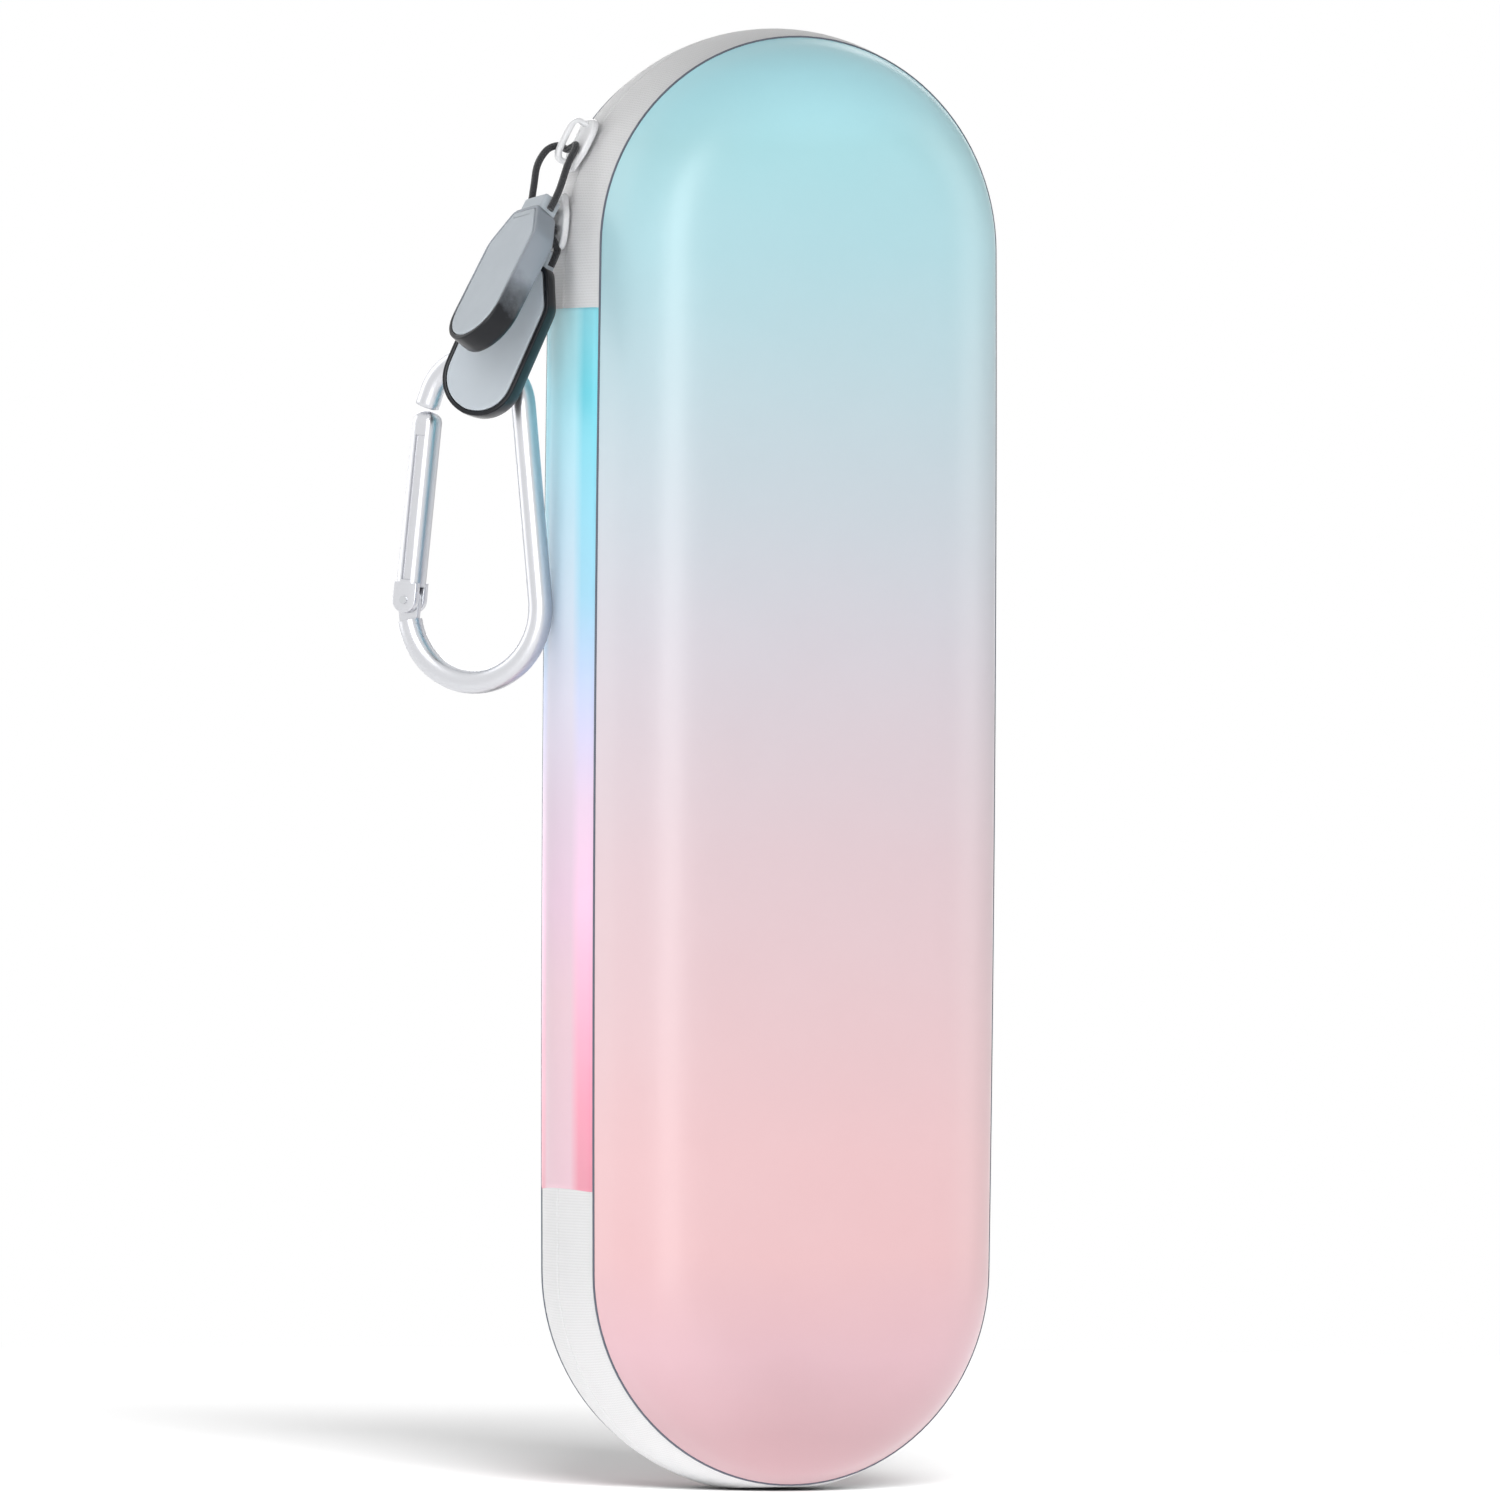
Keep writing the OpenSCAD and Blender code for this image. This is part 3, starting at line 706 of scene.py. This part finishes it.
def seam(which, side, body):
    """Dark line of painted shade, a thin cord where a shell meets the band."""
    seam_r, seam_y = 33.7, BAND_HALF + 0.02
    profile = [(seam_r + r, side * seam_y + y) for r, y in circle(0.24, 8)]
    piece = swept(which + "_seam", profile, all_round(), seam_shade_cord, True, crease=80, stands=True)
    dress(piece, body, "binding_cloth")


for side, body, which in HALVES:
    shell(which, side, body)
    lining(which, side, body)
    binding(which, side, body)
    seam(which, side, body)


# ---- Band: tapes, coils and the spine strip ----

DIP_Y = 11.2
COIL_PITCH, COIL_AT, COIL_R, COIL_Y = 0.34, 33.9, 0.68, 0.95
COIL_REACH = (0.6, 0.97, 0.97, 0.6)


def crest(y, sunk=0.0):
    """Distance of the swelling band from the case's centre line, at a depth."""
    return BULGE_X + math.sqrt((BULGE_R - sunk) ** 2 - y * y)


def tape(which, side, body):
    """One half of the zip's cloth: it dips to its seam and is rounded along the teeth."""
    outer = [(crest(y) - 0.12 * max(0, y - DIP_Y), y) for y in
             (12.15, 11.8, DIP_Y, 10, 8.6, 7, 5.4, 3.8, 2.4, 1.4, 0.9)]
    edge_r, edge_y = crest(0.7) - TAPE_T / 2, 0.5
    edge = [(edge_r + TAPE_T / 2 * math.cos(a), edge_y - 0.46 * math.sin(a))
            for a in (math.radians(d) for d in (20, 50, 90, 130, 160))]
    inner = [(crest(y, TAPE_T), y) for y in (0.9, 2.4, 4.5, 7, 9.5, 12.15)]
    profile = [(r, side * y) for r, y in outer + edge + inner]
    piece = swept(which + "_zip_band", profile, along_zip(0.0, 2.2), zip_cloth, False, crease=60,
                  stands=True)
    dress(piece, body, "zip_cloth", which + "_zip_tape")


def coil(which, side, body):
    """Nylon turns side by side. One half's wide turns mesh with the other's narrow ones."""
    stations = along_zip(3.4, COIL_PITCH)
    points, uv = [], []
    turn_points = circle(1.0, 7)
    for i, station in enumerate(stations):
        reach = COIL_REACH[(i + side + 1) % 4]
        for k, (out, across) in enumerate(turn_points):
            y = side * COIL_Y + reach * across
            points.append(at_station(station, COIL_AT + COIL_R * out, y))
            uv.append((i * COIL_PITCH, k))
    faces = bar_faces(len(stations), len(turn_points))
    piece = mesh_piece(which + "_zip_teeth", points, faces, coil_nylon, uv, crease=80, bow=True)
    dress(piece, body, "zip_nylon", which + "_zip_coil")


def spine_strip():
    """Covering carried from shell to shell. It laps the tapes' ends by a millimetre."""
    # (distance past the strip's end, how much thinner it is there)
    lap = ((1.1, 0.3), (0.95, 0.08), (0.6, 0.0))
    depths = [-12.12, -11.8, -DIP_Y] + [-10.5 + 21.0 * k / 24 for k in range(25)]
    depths += [DIP_Y, 11.8, 12.12]
    outer = [(crest(y) + 0.14 - 0.2 * max(0, abs(y) - DIP_Y), y) for y in depths]
    inner = [(crest(y, TAPE_T), y) for y in reversed(depths)]
    rows = [(STRIP_LOW - d, thin) for d, thin in lap]
    rows += [(STRIP_LOW + (STRIP_HIGH - STRIP_LOW) * k / 70, 0.0) for k in range(71)]
    rows += [(STRIP_HIGH + d, thin) for d, thin in reversed(lap)]
    curved = 6
    points, uv = [], []
    for i, (z, thin) in enumerate(rows):
        for k, (r, y) in enumerate(outer + inner):
            # The lower end is cut on a shallow curve
            rise = 0.5 * (1 - (y / BAND_HALF) ** 2) * max(0.0, 1 - i / curved)
            points.append((-(r - (thin if k < len(outer) else 0.0)), y, z + rise))
            uv.append((z, y))
    faces = bar_faces(len(rows), 2 * len(depths))
    piece = mesh_piece("spine_strip_cover", points, faces, strip_cover, uv, crease=50, bow=True)
    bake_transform(piece)
    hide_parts("spine_strip")


for side, body, which in HALVES:
    tape(which, side, body)
    coil(which, side, body)
spine_strip()


# ---- Inside ----

def foam_cradle():
    """The cradle's solid, remeshed and relaxed, so that its edges round over like moulded foam."""
    source = frame["nodes"]["foam_cradle"]
    piece = bpy.data.objects.new("foam_cradle_pad", source.data.copy())
    bpy.context.scene.collection.objects.link(piece)
    mesh = piece.modifiers.new("voxels", "REMESH")
    mesh.mode, mesh.voxel_size = "VOXEL", (0.0013)
    relax = piece.modifiers.new("relax", "SMOOTH")
    relax.factor, relax.iterations = 0.5, 6
    view = bpy.context.evaluated_depsgraph_get()
    made = bpy.data.meshes.new_from_object(piece.evaluated_get(view))
    piece.modifiers.clear()
    piece.data = made
    made.shade_smooth()
    made.materials.clear()
    made.materials.append(foam_cloth)
    dress(piece, "base", "cradle_foam", "foam_cradle")


def strap(name, middle, node):
    """Woven elastic band, stretched flat, with a stitched ridge near each end."""
    reach, half_w, front_y, back_y = 28.6, 10, 14.12, 14.85
    rows, columns = 61, 13
    points, uv = [], []
    for front in (True, False):
        for i in range(rows):
            x = -reach + 2 * reach * i / (rows - 1)
            for j in range(columns):
                v = -1 + 2 * j / (columns - 1)
                pinch = 1 - 0.06 * math.cos(math.pi * x / (2 * reach)) ** 2
                ridge = 0.25 if 25.4 < abs(x) < 26.4 else 0.0
                lip = 0.15 if abs(v) > 0.9 else 0.0
                y = front_y + ridge + lip if front else back_y - lip
                points.append((x, y, middle + half_w * v * pinch))
                uv.append((x, half_w * v))
    count = rows * columns
    faces = grid_faces(rows, columns)
    faces += [tuple(count + k for k in reversed(f)) for f in grid_faces(rows, columns)]
    # The edge's points, once round, join the two faces
    loop = list(range(columns)) + [i * columns + columns - 1 for i in range(1, rows)]
    loop += [(rows - 1) * columns + j for j in range(columns - 2, -1, -1)]
    loop += [i * columns for i in range(rows - 2, 0, -1)]
    faces += [(a, b, count + b, count + a) for a, b in zip(loop, loop[1:] + loop[:1])]
    piece = mesh_piece(name, points, faces, elastic, uv, crease=50)
    dress(piece, "base", "elastic_black", node)


def net_pocket():
    """Net stretched across the lower part of the lid, held by a gathered elastic hem."""
    reach, low, top, net_y = 28.8, 5.9, 150.0, -15.0
    hem_y, hem_z, hem_r = -15.05, 151.0, 1.0
    rows, columns = 73, 33
    points, uv = [], []
    for i in range(rows):
        z = low + (top - low) * i / (rows - 1)
        width = reach if z > Z_LOW else math.sqrt(max(reach ** 2 - (Z_LOW - z) ** 2, 0.5))
        for j in range(columns):
            v = -1 + 2 * j / (columns - 1)
            slack = 0.9 * (1 - v * v) * math.sin(math.pi * i / (rows - 1)) ** 0.8
            ripple = 0.12 * math.sin(9 * v + 0.35 * i) * (i / rows) ** 3
            points.append((v * width, net_y + slack + ripple, z))
            uv.append((v * width, z))
    piece = mesh_piece("lid_net_pocket", points, grid_faces(rows, columns), net, uv, crease=80)
    dress(piece, "lid", "net", "mesh_pocket")
    steps = 180
    hem_path = [Vector((-reach + 2 * reach * k / steps, hem_y + 0.10 * math.sin(k * 0.9), hem_z))
                for k in range(steps + 1)]
    hem = tube("net_pocket_hem", hem_path, hem_r, elastic)
    for v in hem.data.vertices:
        gather = 1 + 0.12 * math.sin(v.co.x / MM * 2.9) + 0.05 * noise.noise(v.co * 900)
        axis = Vector((v.co.x, hem_y * MM, hem_z * MM))
        v.co = axis + (v.co - axis) * gather
    dress(hem, "lid", "elastic_black", "pocket_hem")


foam_cradle()
strap("lower_elastic_strap", 66, "lower_strap")
strap("upper_elastic_strap", 158, "upper_strap")
net_pocket()


# ---- Sliders ----

SLIDER_1_AT, SLIDER_2_AT = 154, 174
SHIELD_L, SHIELD_W, SHIELD_TAPER = 4.7, 3.95, 1.15
PLATE_L, PLATE_W, PLATE_LOW, PLATE_HIGH = 4.1, 3.05, -3.95, -3.05
# Where a pull's cord turns round the bridge, in the slider's own place
CORD_TURN = (-1, 0, 2.45)


def on_arc(at):
    """Place on the band's top arc, at degrees from the zip side. Its X runs along the zip."""
    return shift(0, 0, Z_HIGH) @ turn("Y", 90 - at) @ shift(0, 0, BAND_R)


def block(half_x, half_y):
    """Outline of a small block with rounded corners."""
    c = min(half_x, half_y) * 0.25
    x, y = half_x - c, half_y - c
    edge = []
    for corner_x, corner_y, start in ((x, y, 0), (-x, y, 90), (-x, -y, 180), (x, -y, 270)):
        edge += arc(c, start, start + 90, 30, corner_x, corner_y)
    return edge


def shield():
    """Outline of a slider's top plate, narrower towards one end."""
    edge, count = [], 72
    for k in range(count):
        a = 2 * math.pi * k / count
        taper = min(1, max(0, (0.6 - SHIELD_L * math.cos(a)) / 3.2))
        width = SHIELD_W - SHIELD_TAPER * (1 - math.cos(taper * math.pi)) / 2
        edge.append((SHIELD_L * bent(math.cos(a), 0.55), width * bent(math.sin(a), 0.6)))
    return edge


def slider(which, at, facing):
    """Slider with its side walls and its bridge, a flat rounded strap bent over the top plate."""
    place, body = on_arc(at) @ Matrix.Diagonal((facing, 1, 1, 1)), "zip_" + which
    top = plate("top", shield(), 0.6, 1.7, 0.38, enamel, place)
    under = plate("under", block(PLATE_L, PLATE_W), PLATE_LOW, PLATE_HIGH, 0.25, enamel, place)
    post = plate("post", block(1.2, 0.3), -3.5, 1.15, 0.08, enamel, place)
    walls = [plate("wall", [(x, y + side * 2.8) for x, y in block(PLATE_L, 0.25)],
                   PLATE_LOW, -2.25, 0.1, enamel, place) for side in (-1, 1)]
    dress(joined(which + "_body", top, under, post, *walls), body, "slider_metal", which)
    rising = [(-3.55, 1.3), (-3.55, 2.6), (-3.45, 3.35), (-2.9, 3.85), (-2.0, 4.02)]
    arch = [(x, 0, z) for x, z in rising + [(0, 4.06)] + [(-x, z) for x, z in reversed(rising)]]
    section = squarish(0.9, 0.44, 0.5, 0.6, 20)
    bridge = tube(which + "_bridge", smooth_path(arch, 5), section, enamel, place, crease=60)
    dress(bridge, body, "slider_metal", which + "_bow")


slider("slider_1", SLIDER_1_AT, 1)
slider("slider_2", SLIDER_2_AT, -1)


# ---- Pulls ----

PULL_L, PULL_T, END_R, SHOULDER_L = 29.5, 4.5, 6.4, 8.8
NECK_L, NECK_W, NECK_T = 2.8, 5.8, 3.3
CORD_R = 0.58


def pull_edge(inset):
    """Outline of the pull from its neck on: sloping shoulders, straight sides and a round end."""
    end = PULL_L - END_R
    corners = [(NECK_L, 0), (NECK_L, NECK_W / 2 + 0.3), (SHOULDER_L, END_R)]
    corners += [(end + END_R * math.sin(a), END_R * math.cos(a))
                for a in (math.pi / 2 * k / 16 for k in range(17))]
    upper = []
    for p, q in zip(corners, corners[1:]):
        p, q = Vector(p), Vector(q)
        steps = max(1, round((q - p).length / 0.5))
        upper += [p.lerp(q, k / steps) for k in range(steps)]
    upper.append(Vector(corners[-1]))
    # Four passes of averaging round the corners over
    for smoothing in range(4):
        upper = [upper[0]] + [(upper[k - 1] + upper[k] * 2 + upper[k + 1]) / 4
                              for k in range(1, len(upper) - 1)] + [upper[-1]]
    edge = upper + [Vector((p.x, -p.y)) for p in upper[-2:0:-1]]
    out = []
    for k, p in enumerate(edge):
        along = (edge[(k + 1) % len(edge)] - edge[k - 1]).normalized()
        out.append((p.x + along.y * inset, p.y - along.x * inset))
    return out


def stacked(name, rows, finish, place):
    """A pull's slab from rows of (inset, height)."""
    points = [(x, y, z) for inset, z in rows for x, y in pull_edge(inset)]
    faces = bar_faces(len(rows), len(pull_edge(0)))
    return mesh_piece(name, points, faces, finish, [(x, y) for x, y, z in points], place, 50)


def pull(which, hang_at, lean, yaw, twist, cord, bulge, lift, finish):
    """Pull on its cord loop, of which one strand bulges out and the other runs straight."""
    hang = (on_arc(hang_at) @ shift(*CORD_TURN) @ turn("Y", lean) @ turn("Z", -yaw)
            @ turn("Y", -90))
    flat = (hang @ turn("Z", twist) @ shift(0, 0, cord) @ turn("Y", 90)
            @ Matrix.Diagonal((-1, 1, 1, 1)))
    # Body: stacked outlines, rounded below, with a crisp lip round the face
    half = PULL_T / 2
    core = stacked("slab", [
        (1.9, -half), (1.1, -half + 0.04), (0.55, -half + 0.2), (0.2, -half + 0.5),
        (0.02, -half + 1.0), (0.0, 0.0), (0.0, half - 0.35), (0.05, half - 0.12),
        (0.16, half - 0.02), (0.3, half), (0.62, half), (0.74, half - 0.1), (0.78, half - 0.68),
        (1.9, half - 0.7)], finish, flat)
    neck = plate("neck", [(x + 1.9, y) for x, y in block(1.9, NECK_W / 2)],
                 -NECK_T / 2, NECK_T / 2, 0.45, pull_face, flat)
    dress(joined(which + "_body", core, neck), which, "pull_grey", which + "_core")
    # Face: a slightly crowned inlay in the lip
    face = stacked(which + "_face", [
        (0.84, half - 0.66), (0.84, half - 0.03), (0.9, half + 0.05), (1.1, half + 0.09),
        (1.6, half + 0.1), (1.8, half + 0.1), (2.0, half + 0.1)], pull_face, flat)
    dress(face, which, "pull_face", which + "_inlay")
    # The loop ends beside the pull's neck and turns round the slider's bridge in between
    a = math.radians(twist)
    foot = (Vector((-math.sin(a), math.cos(a), 0)) * (NECK_W / 2 + 0.35)
            - Vector((math.cos(a), math.sin(a), 0)) * lift)
    drop = Vector((0, 0, 1))
    path = [foot + drop * (cord + 2.4), foot + drop * (cord + 0.4),
            foot * 0.72 + Vector((bulge * 0.45, 0.6, cord * 0.74)),
            (bulge, 2.7, cord * 0.42), (bulge * 0.9, 2.75, cord * 0.12), (bulge * 0.45, 2.5, -0.45),
            (0.2, 1.7, -0.3), (0, 0.9, 0), (0, -0.9, 0), (0.05, -1.9, 0.1), (0, -2.55, cord * 0.14),
            (0, -2.7, cord * 0.4), foot * -0.9 + drop * cord * 0.78,
            -foot + drop * (cord + 0.4), -foot + drop * (cord + 2.4)]
    loop = tube(which + "_cord_loop", smooth_path(path, 6), CORD_R, cord_braid, hang)
    dress(loop, which, "cord_black", which + "_cord")


pull("pull_1", SLIDER_1_AT, lean=7, yaw=-18, twist=-10, cord=11, bulge=2.8, lift=0.0,
     finish=pull_side_painted_reflection("pull_1_side", 17.0, 25.0))
pull("pull_2", SLIDER_2_AT, lean=16, yaw=8, twist=-50, cord=3.4, bulge=0.8, lift=1.1,
     finish=pull_side_painted_reflection("pull_2_side", -4.0, -2.0))


# ---- Lanyard and carabiner ----

HOOK_X, HOOK_Y, KNOT_Z = -46.2, 11.6, 185.0
RING = shift(HOOK_X, HOOK_Y, 155.2) @ turn("Z", -47)
ROD_R, TOP_R, BOTTOM_R, TOP_Z, BOTTOM_Z = 1.9, 8.6, 11.9, 17.5, -14.2
ROD_SIDES, NOSE_AT = 20, 160
STRAND_R, EYE_R, TIE_R = 0.5, 0.56, 0.42
SIDE_A = math.degrees(math.asin((BOTTOM_R - TOP_R) / (TOP_Z - BOTTOM_Z)))


def lanyard():
    """Doubled cord: round slider 2's bridge, then knotted to an eye on the carabiner's top."""
    place = on_arc(SLIDER_2_AT)
    ring_place = RING @ shift(0, 0, TOP_Z + TOP_R + 0.05) @ turn("Y", 90)
    knot = Vector((HOOK_X, HOOK_Y, KNOT_Z))
    bow_turn = [place @ Vector((1.5, y, z)) for y, z in (
        (3.4, 2.9), (2.0, 2.5), (0.0, 2.45), (-1.3, 2.55), (-1.75, 3.4), (-1.5, 4.6), (-0.6, 5.15),
        (0.6, 5.15), (1.8, 4.8), (3.2, 4.2))]
    bend = Vector((-37.6, 5.0, 203.4))
    way = (knot - bend).normalized()
    apart = way.cross(Vector((0, 0, 1))).normalized() * 0.42
    line = [knot + apart, bend + way * 9 + apart, bend + way * 3 + apart * 1.2] + bow_turn
    line += [bend + way * 3 - apart * 1.2, bend + way * 9 - apart, knot - apart]
    strands = tube("strands", smooth_path(line, 6), STRAND_R, cord_braid)
    ring = [ring_place @ Vector((x, y, 0)) for x, y in circle(2.62, 48)]
    eye = tube("eye", ring, EYE_R, cord_braid, closed=True)
    # The tie is a trefoil knot
    tie, steps = [], 90
    for k in range(steps):
        t = 2 * math.pi * k / steps
        tie.append(knot + Vector((math.sin(t) + 2 * math.sin(2 * t), -math.sin(3 * t) * 1.1,
                                  math.cos(t) - 2 * math.cos(2 * t))) * 0.32)
    tied = tube("knot", tie, TIE_R, cord_braid, closed=True)
    whole = joined("carabiner_lanyard", strands, eye, tied)
    dress(whole, "lanyard_loop", "cord_black", "lanyard")


def on_ring(r, z, degrees):
    a = math.radians(degrees)
    return Vector((r * math.cos(a), 0, z + r * math.sin(a)))


def carabiner_frame():
    """Bent rod from the hook's nose, over the top and round below to the gate's pivot."""
    nose, nose_a = on_ring(TOP_R, TOP_Z, NOSE_AT), math.radians(NOSE_AT)
    down = Vector((-math.sin(nose_a), 0, math.cos(nose_a)))
    path = [nose + down * d for d in (2.5, 2.35, 1.7, 0.9)]
    path += [on_ring(TOP_R, TOP_Z, NOSE_AT - (NOSE_AT - SIDE_A) * k / 26) for k in range(27)]
    low = on_ring(BOTTOM_R, BOTTOM_Z, SIDE_A)
    path += [path[-1].lerp(low, k / 8) for k in range(1, 8)]
    path += [on_ring(BOTTOM_R, BOTTOM_Z, SIDE_A - (170 + SIDE_A) * k / 36) for k in range(37)]
    section = squarish(ROD_R, ROD_R, 0.85, 0.85, ROD_SIDES, start=0.5)
    rod = tube("rod", path, section, satin, RING, crease=50)
    # The nose's end is rounded over
    tip = RING @ path[0] * MM
    for v in rod.data.vertices[:ROD_SIDES]:
        v.co = tip + (v.co - tip) * 0.86
    pivot = on_ring(BOTTOM_R, BOTTOM_Z, 180 - SIDE_A)
    across = RING @ shift(*pivot) @ turn("X", 90)
    tongue = arc(ROD_R, -10, 190, 12) + [(-1.5, -4.2), (1.5, -4.2)]
    lug = plate("lug", tongue, -0.6, 0.6, 0.12, satin, across)
    dress(joined("carabiner_rod", rod, lug), "carabiner", "carabiner_alu", "carabiner_frame")


def carabiner_gate():
    """Channel with a shallow groove down each face, and a fork that holds the pin."""
    pivot = on_ring(BOTTOM_R, BOTTOM_Z, 180 - SIDE_A)
    top = on_ring(TOP_R, TOP_Z, 180 - SIDE_A)
    tilt = math.degrees(math.atan2(top.x - pivot.x, top.z - pivot.z))
    place = RING @ shift(*pivot) @ turn("Y", tilt)
    length = (top - pivot).length - 1.0
    # The gate's end is solid, without its channel and grooves, and then rounded over
    solid_z, round_z = length - 3.95, length - 1.7
    half = [(-0.6, 0.0), (-0.6, 0.6), (-1.85, 0.62), (-2.06, 0.8), (-1.98, 1.35), (-1.62, 1.85),
            (-1.1, 2.06), (-0.8, 2.1), (-0.68, 2.1), (0.68, 2.1), (0.8, 2.1), (1.1, 2.06),
            (1.62, 1.8), (1.98, 1.3), (2.1, 0.7), (2.12, 0.0)]
    section = half + [(x, -y) for x, y in half[-2:0:-1]]
    heights = [2.25, 2.4, 2.7, 3.3, 3.4]
    heights += [3.4 + (length - 7.4) * k / 20 for k in range(1, 21)]
    heights += [length - d for d in (3.9, 2.6, 1.7, 1.0, 0.55, 0.2, 0.0)]
    points, uv = [], []
    for z in heights:
        over = max(0.0, (z - round_z) / (length - round_z))
        size = math.sqrt(max(0.0, 1 - over ** 2 * 0.92))
        for x, y in section:
            grooved = 3.35 < z < solid_z and abs(x) < 0.7 and abs(y) > 1.9
            closed = -2.0 < x < -0.5 and abs(y) < 0.65 and z > solid_z
            depth = y * (0.82 if grooved else 1.0)
            points.append(((-2.0 if closed else x) * size, depth * size, z))
            uv.append((x, z))
    faces = bar_faces(len(heights), len(section))
    bar = mesh_piece("channel", points, faces, satin, uv, place, 40)
    cheek = arc(2.1, 180, 360, 12) + [(2.05, 2.9), (-2.0, 2.9)]
    across = place @ turn("X", 90)
    cheeks = [plate("cheek", cheek, low, low + 1.42, 0.2, satin, across) for low in (-2.15, 0.73)]
    dress(joined("carabiner_gate_bar", bar, *cheeks), "gate", "carabiner_alu", "carabiner_gate")


lanyard()
carabiner_frame()
carabiner_gate()
# Four small solids stay as they are and get better materials
for node, finish in (("gate_pin", pin_steel), ("gate_spring", pin_steel),
                     ("upper_zip_stop", coil_nylon), ("lower_zip_stop", coil_nylon)):
    for material_slot in frame["nodes"][node].material_slots:
        material_slot.material = finish


# ---- Floor, light and camera ----

# Lengths are in metres from here on
WHITE = (1, 1, 1, 1)
VIEW_AZIMUTH, FRAME_W, SENSOR_MM = -20, 0.24116, 36
CASE_MIDDLE = Vector((0, 0, 0.12))


def toward(azimuth, elevation=0):
    """Direction from the case to a lamp or a viewer. Azimuth 0 is in front of the lid."""
    a, e = math.radians(azimuth), math.radians(elevation)
    return Vector((math.sin(a) * math.cos(e), -math.cos(a) * math.cos(e), math.sin(e)))


def stand(name, data, aim, way, distance, roll=0.0):
    """Puts a lamp or a camera where it looks at the aim from the given direction."""
    holder = bpy.data.objects.new(name, data)
    bpy.context.scene.collection.objects.link(holder)
    holder.location = aim + way * distance
    turned = way.to_track_quat("Z", "Y").to_matrix().to_4x4() @ turn("Z", roll)
    holder.rotation_euler = turned.to_euler()
    return holder


def floor():
    """Pale floor that turns into plain white away from the case."""
    bpy.ops.mesh.primitive_plane_add(size=6, location=(0, 0, -0.0002))
    ground = bpy.context.object
    ground.name = "studio_floor"
    f = Finish("studio_floor", Roughness=0.9)
    f.color((0.62, 0.62, 0.62, 1))
    out = f.tree.nodes["Material Output"]
    white = f.add("ShaderNodeEmission", Color=WHITE)
    path = f.add("ShaderNodeLightPath")
    away = f.add("ShaderNodeVectorMath", operation="LENGTH", Vector=f.coordinates.outputs["Object"])
    far = f.spread(away.outputs["Value"], 0.25, 0.7, 0.0, 1.0)
    seen = f.math("MAXIMUM", path.outputs["Is Camera Ray"], path.outputs["Is Glossy Ray"])
    blend = f.add("ShaderNodeMixShader", Fac=f.math("MULTIPLY", far, seen))
    f.put(blend.inputs[1], f.shader.outputs[0])
    f.put(blend.inputs[2], white.outputs[0])
    f.put(out.inputs["Surface"], blend.outputs[0])
    ground.data.materials.append(f.material)
    return ground


def world(ambient):
    """White to the eye. Reflections see a studio, a little darker in front and dark behind."""
    sky = bpy.data.worlds.new("studio")
    bpy.context.scene.world = sky
    sky.use_nodes = True
    n = Nodes(sky.node_tree)
    back = sky.node_tree.nodes["Background"]
    path = n.add("ShaderNodeLightPath")
    facing = n.add("ShaderNodeVectorMath", operation="DOT_PRODUCT")
    n.put(facing.inputs[0], n.add("ShaderNodeTexCoord").outputs["Generated"])
    n.put(facing.inputs[1], toward(VIEW_AZIMUTH))
    front = n.spread(facing.outputs["Value"], 0.55, 0.85, 1.0, 0.88)
    behind = n.spread(facing.outputs["Value"], -0.9, -0.6, 0.45, 1.0)
    studio = n.math("MINIMUM", front, behind)
    colour = n.mix(path.outputs["Is Glossy Ray"], (ambient, ambient, ambient, 1), studio)
    seen = n.math("MAXIMUM", path.outputs["Is Camera Ray"], path.outputs["Is Transmission Ray"])
    n.put(back.inputs["Color"], n.mix(seen, colour, WHITE))


def soft_lamp(name, azimuth, size, power, elevation=15, distance=1.2):
    light = bpy.data.lights.new(name, "AREA")
    light.shape, light.size, light.size_y, light.energy = "RECTANGLE", size[0], size[1], power
    stand(name, light, CASE_MIDDLE, toward(azimuth, elevation), distance)


def floor_sun(ground, azimuth, elevation, strength):
    """A low sun for the floor alone: it lays the case's shadow and doesn't light the case."""
    softness = 26
    light = bpy.data.lights.new("floor_sun", "SUN")
    light.angle, light.energy = math.radians(softness), strength
    holder = stand("floor_sun", light, CASE_MIDDLE, toward(azimuth, elevation), 0.0)
    only = bpy.data.collections.new("floor_only")
    only.objects.link(ground)
    holder.light_linking.receiver_collection = only


def camera():
    """The photograph's view, from far away and rolled by a fraction of a degree."""
    distance, roll, aim = 3.0, 0.4, Vector((-0.00286, 0.00104, 0.1185))
    eye = bpy.data.cameras.new("camera")
    eye.lens, eye.sensor_width = SENSOR_MM * distance / FRAME_W, SENSOR_MM
    eye.clip_end = 20
    bpy.context.scene.camera = stand("camera", eye, aim, toward(VIEW_AZIMUTH), distance, roll)


camera()
ground = floor()
world(ambient=0.23)
soft_lamp("left_soft", azimuth=-35, size=(0.5, 1.2), power=8.8, elevation=10)
soft_lamp("back_soft", azimuth=-125, size=(0.9, 1.2), power=3.5)
soft_lamp("right_soft", azimuth=75, size=(0.7, 1.0), power=3.5)
soft_lamp("rear_soft", azimuth=165, size=(0.8, 1.0), power=6.0, distance=1.3)
floor_sun(ground, azimuth=-10, elevation=24, strength=9.3)
bpy.context.scene.view_settings.view_transform = "Standard"
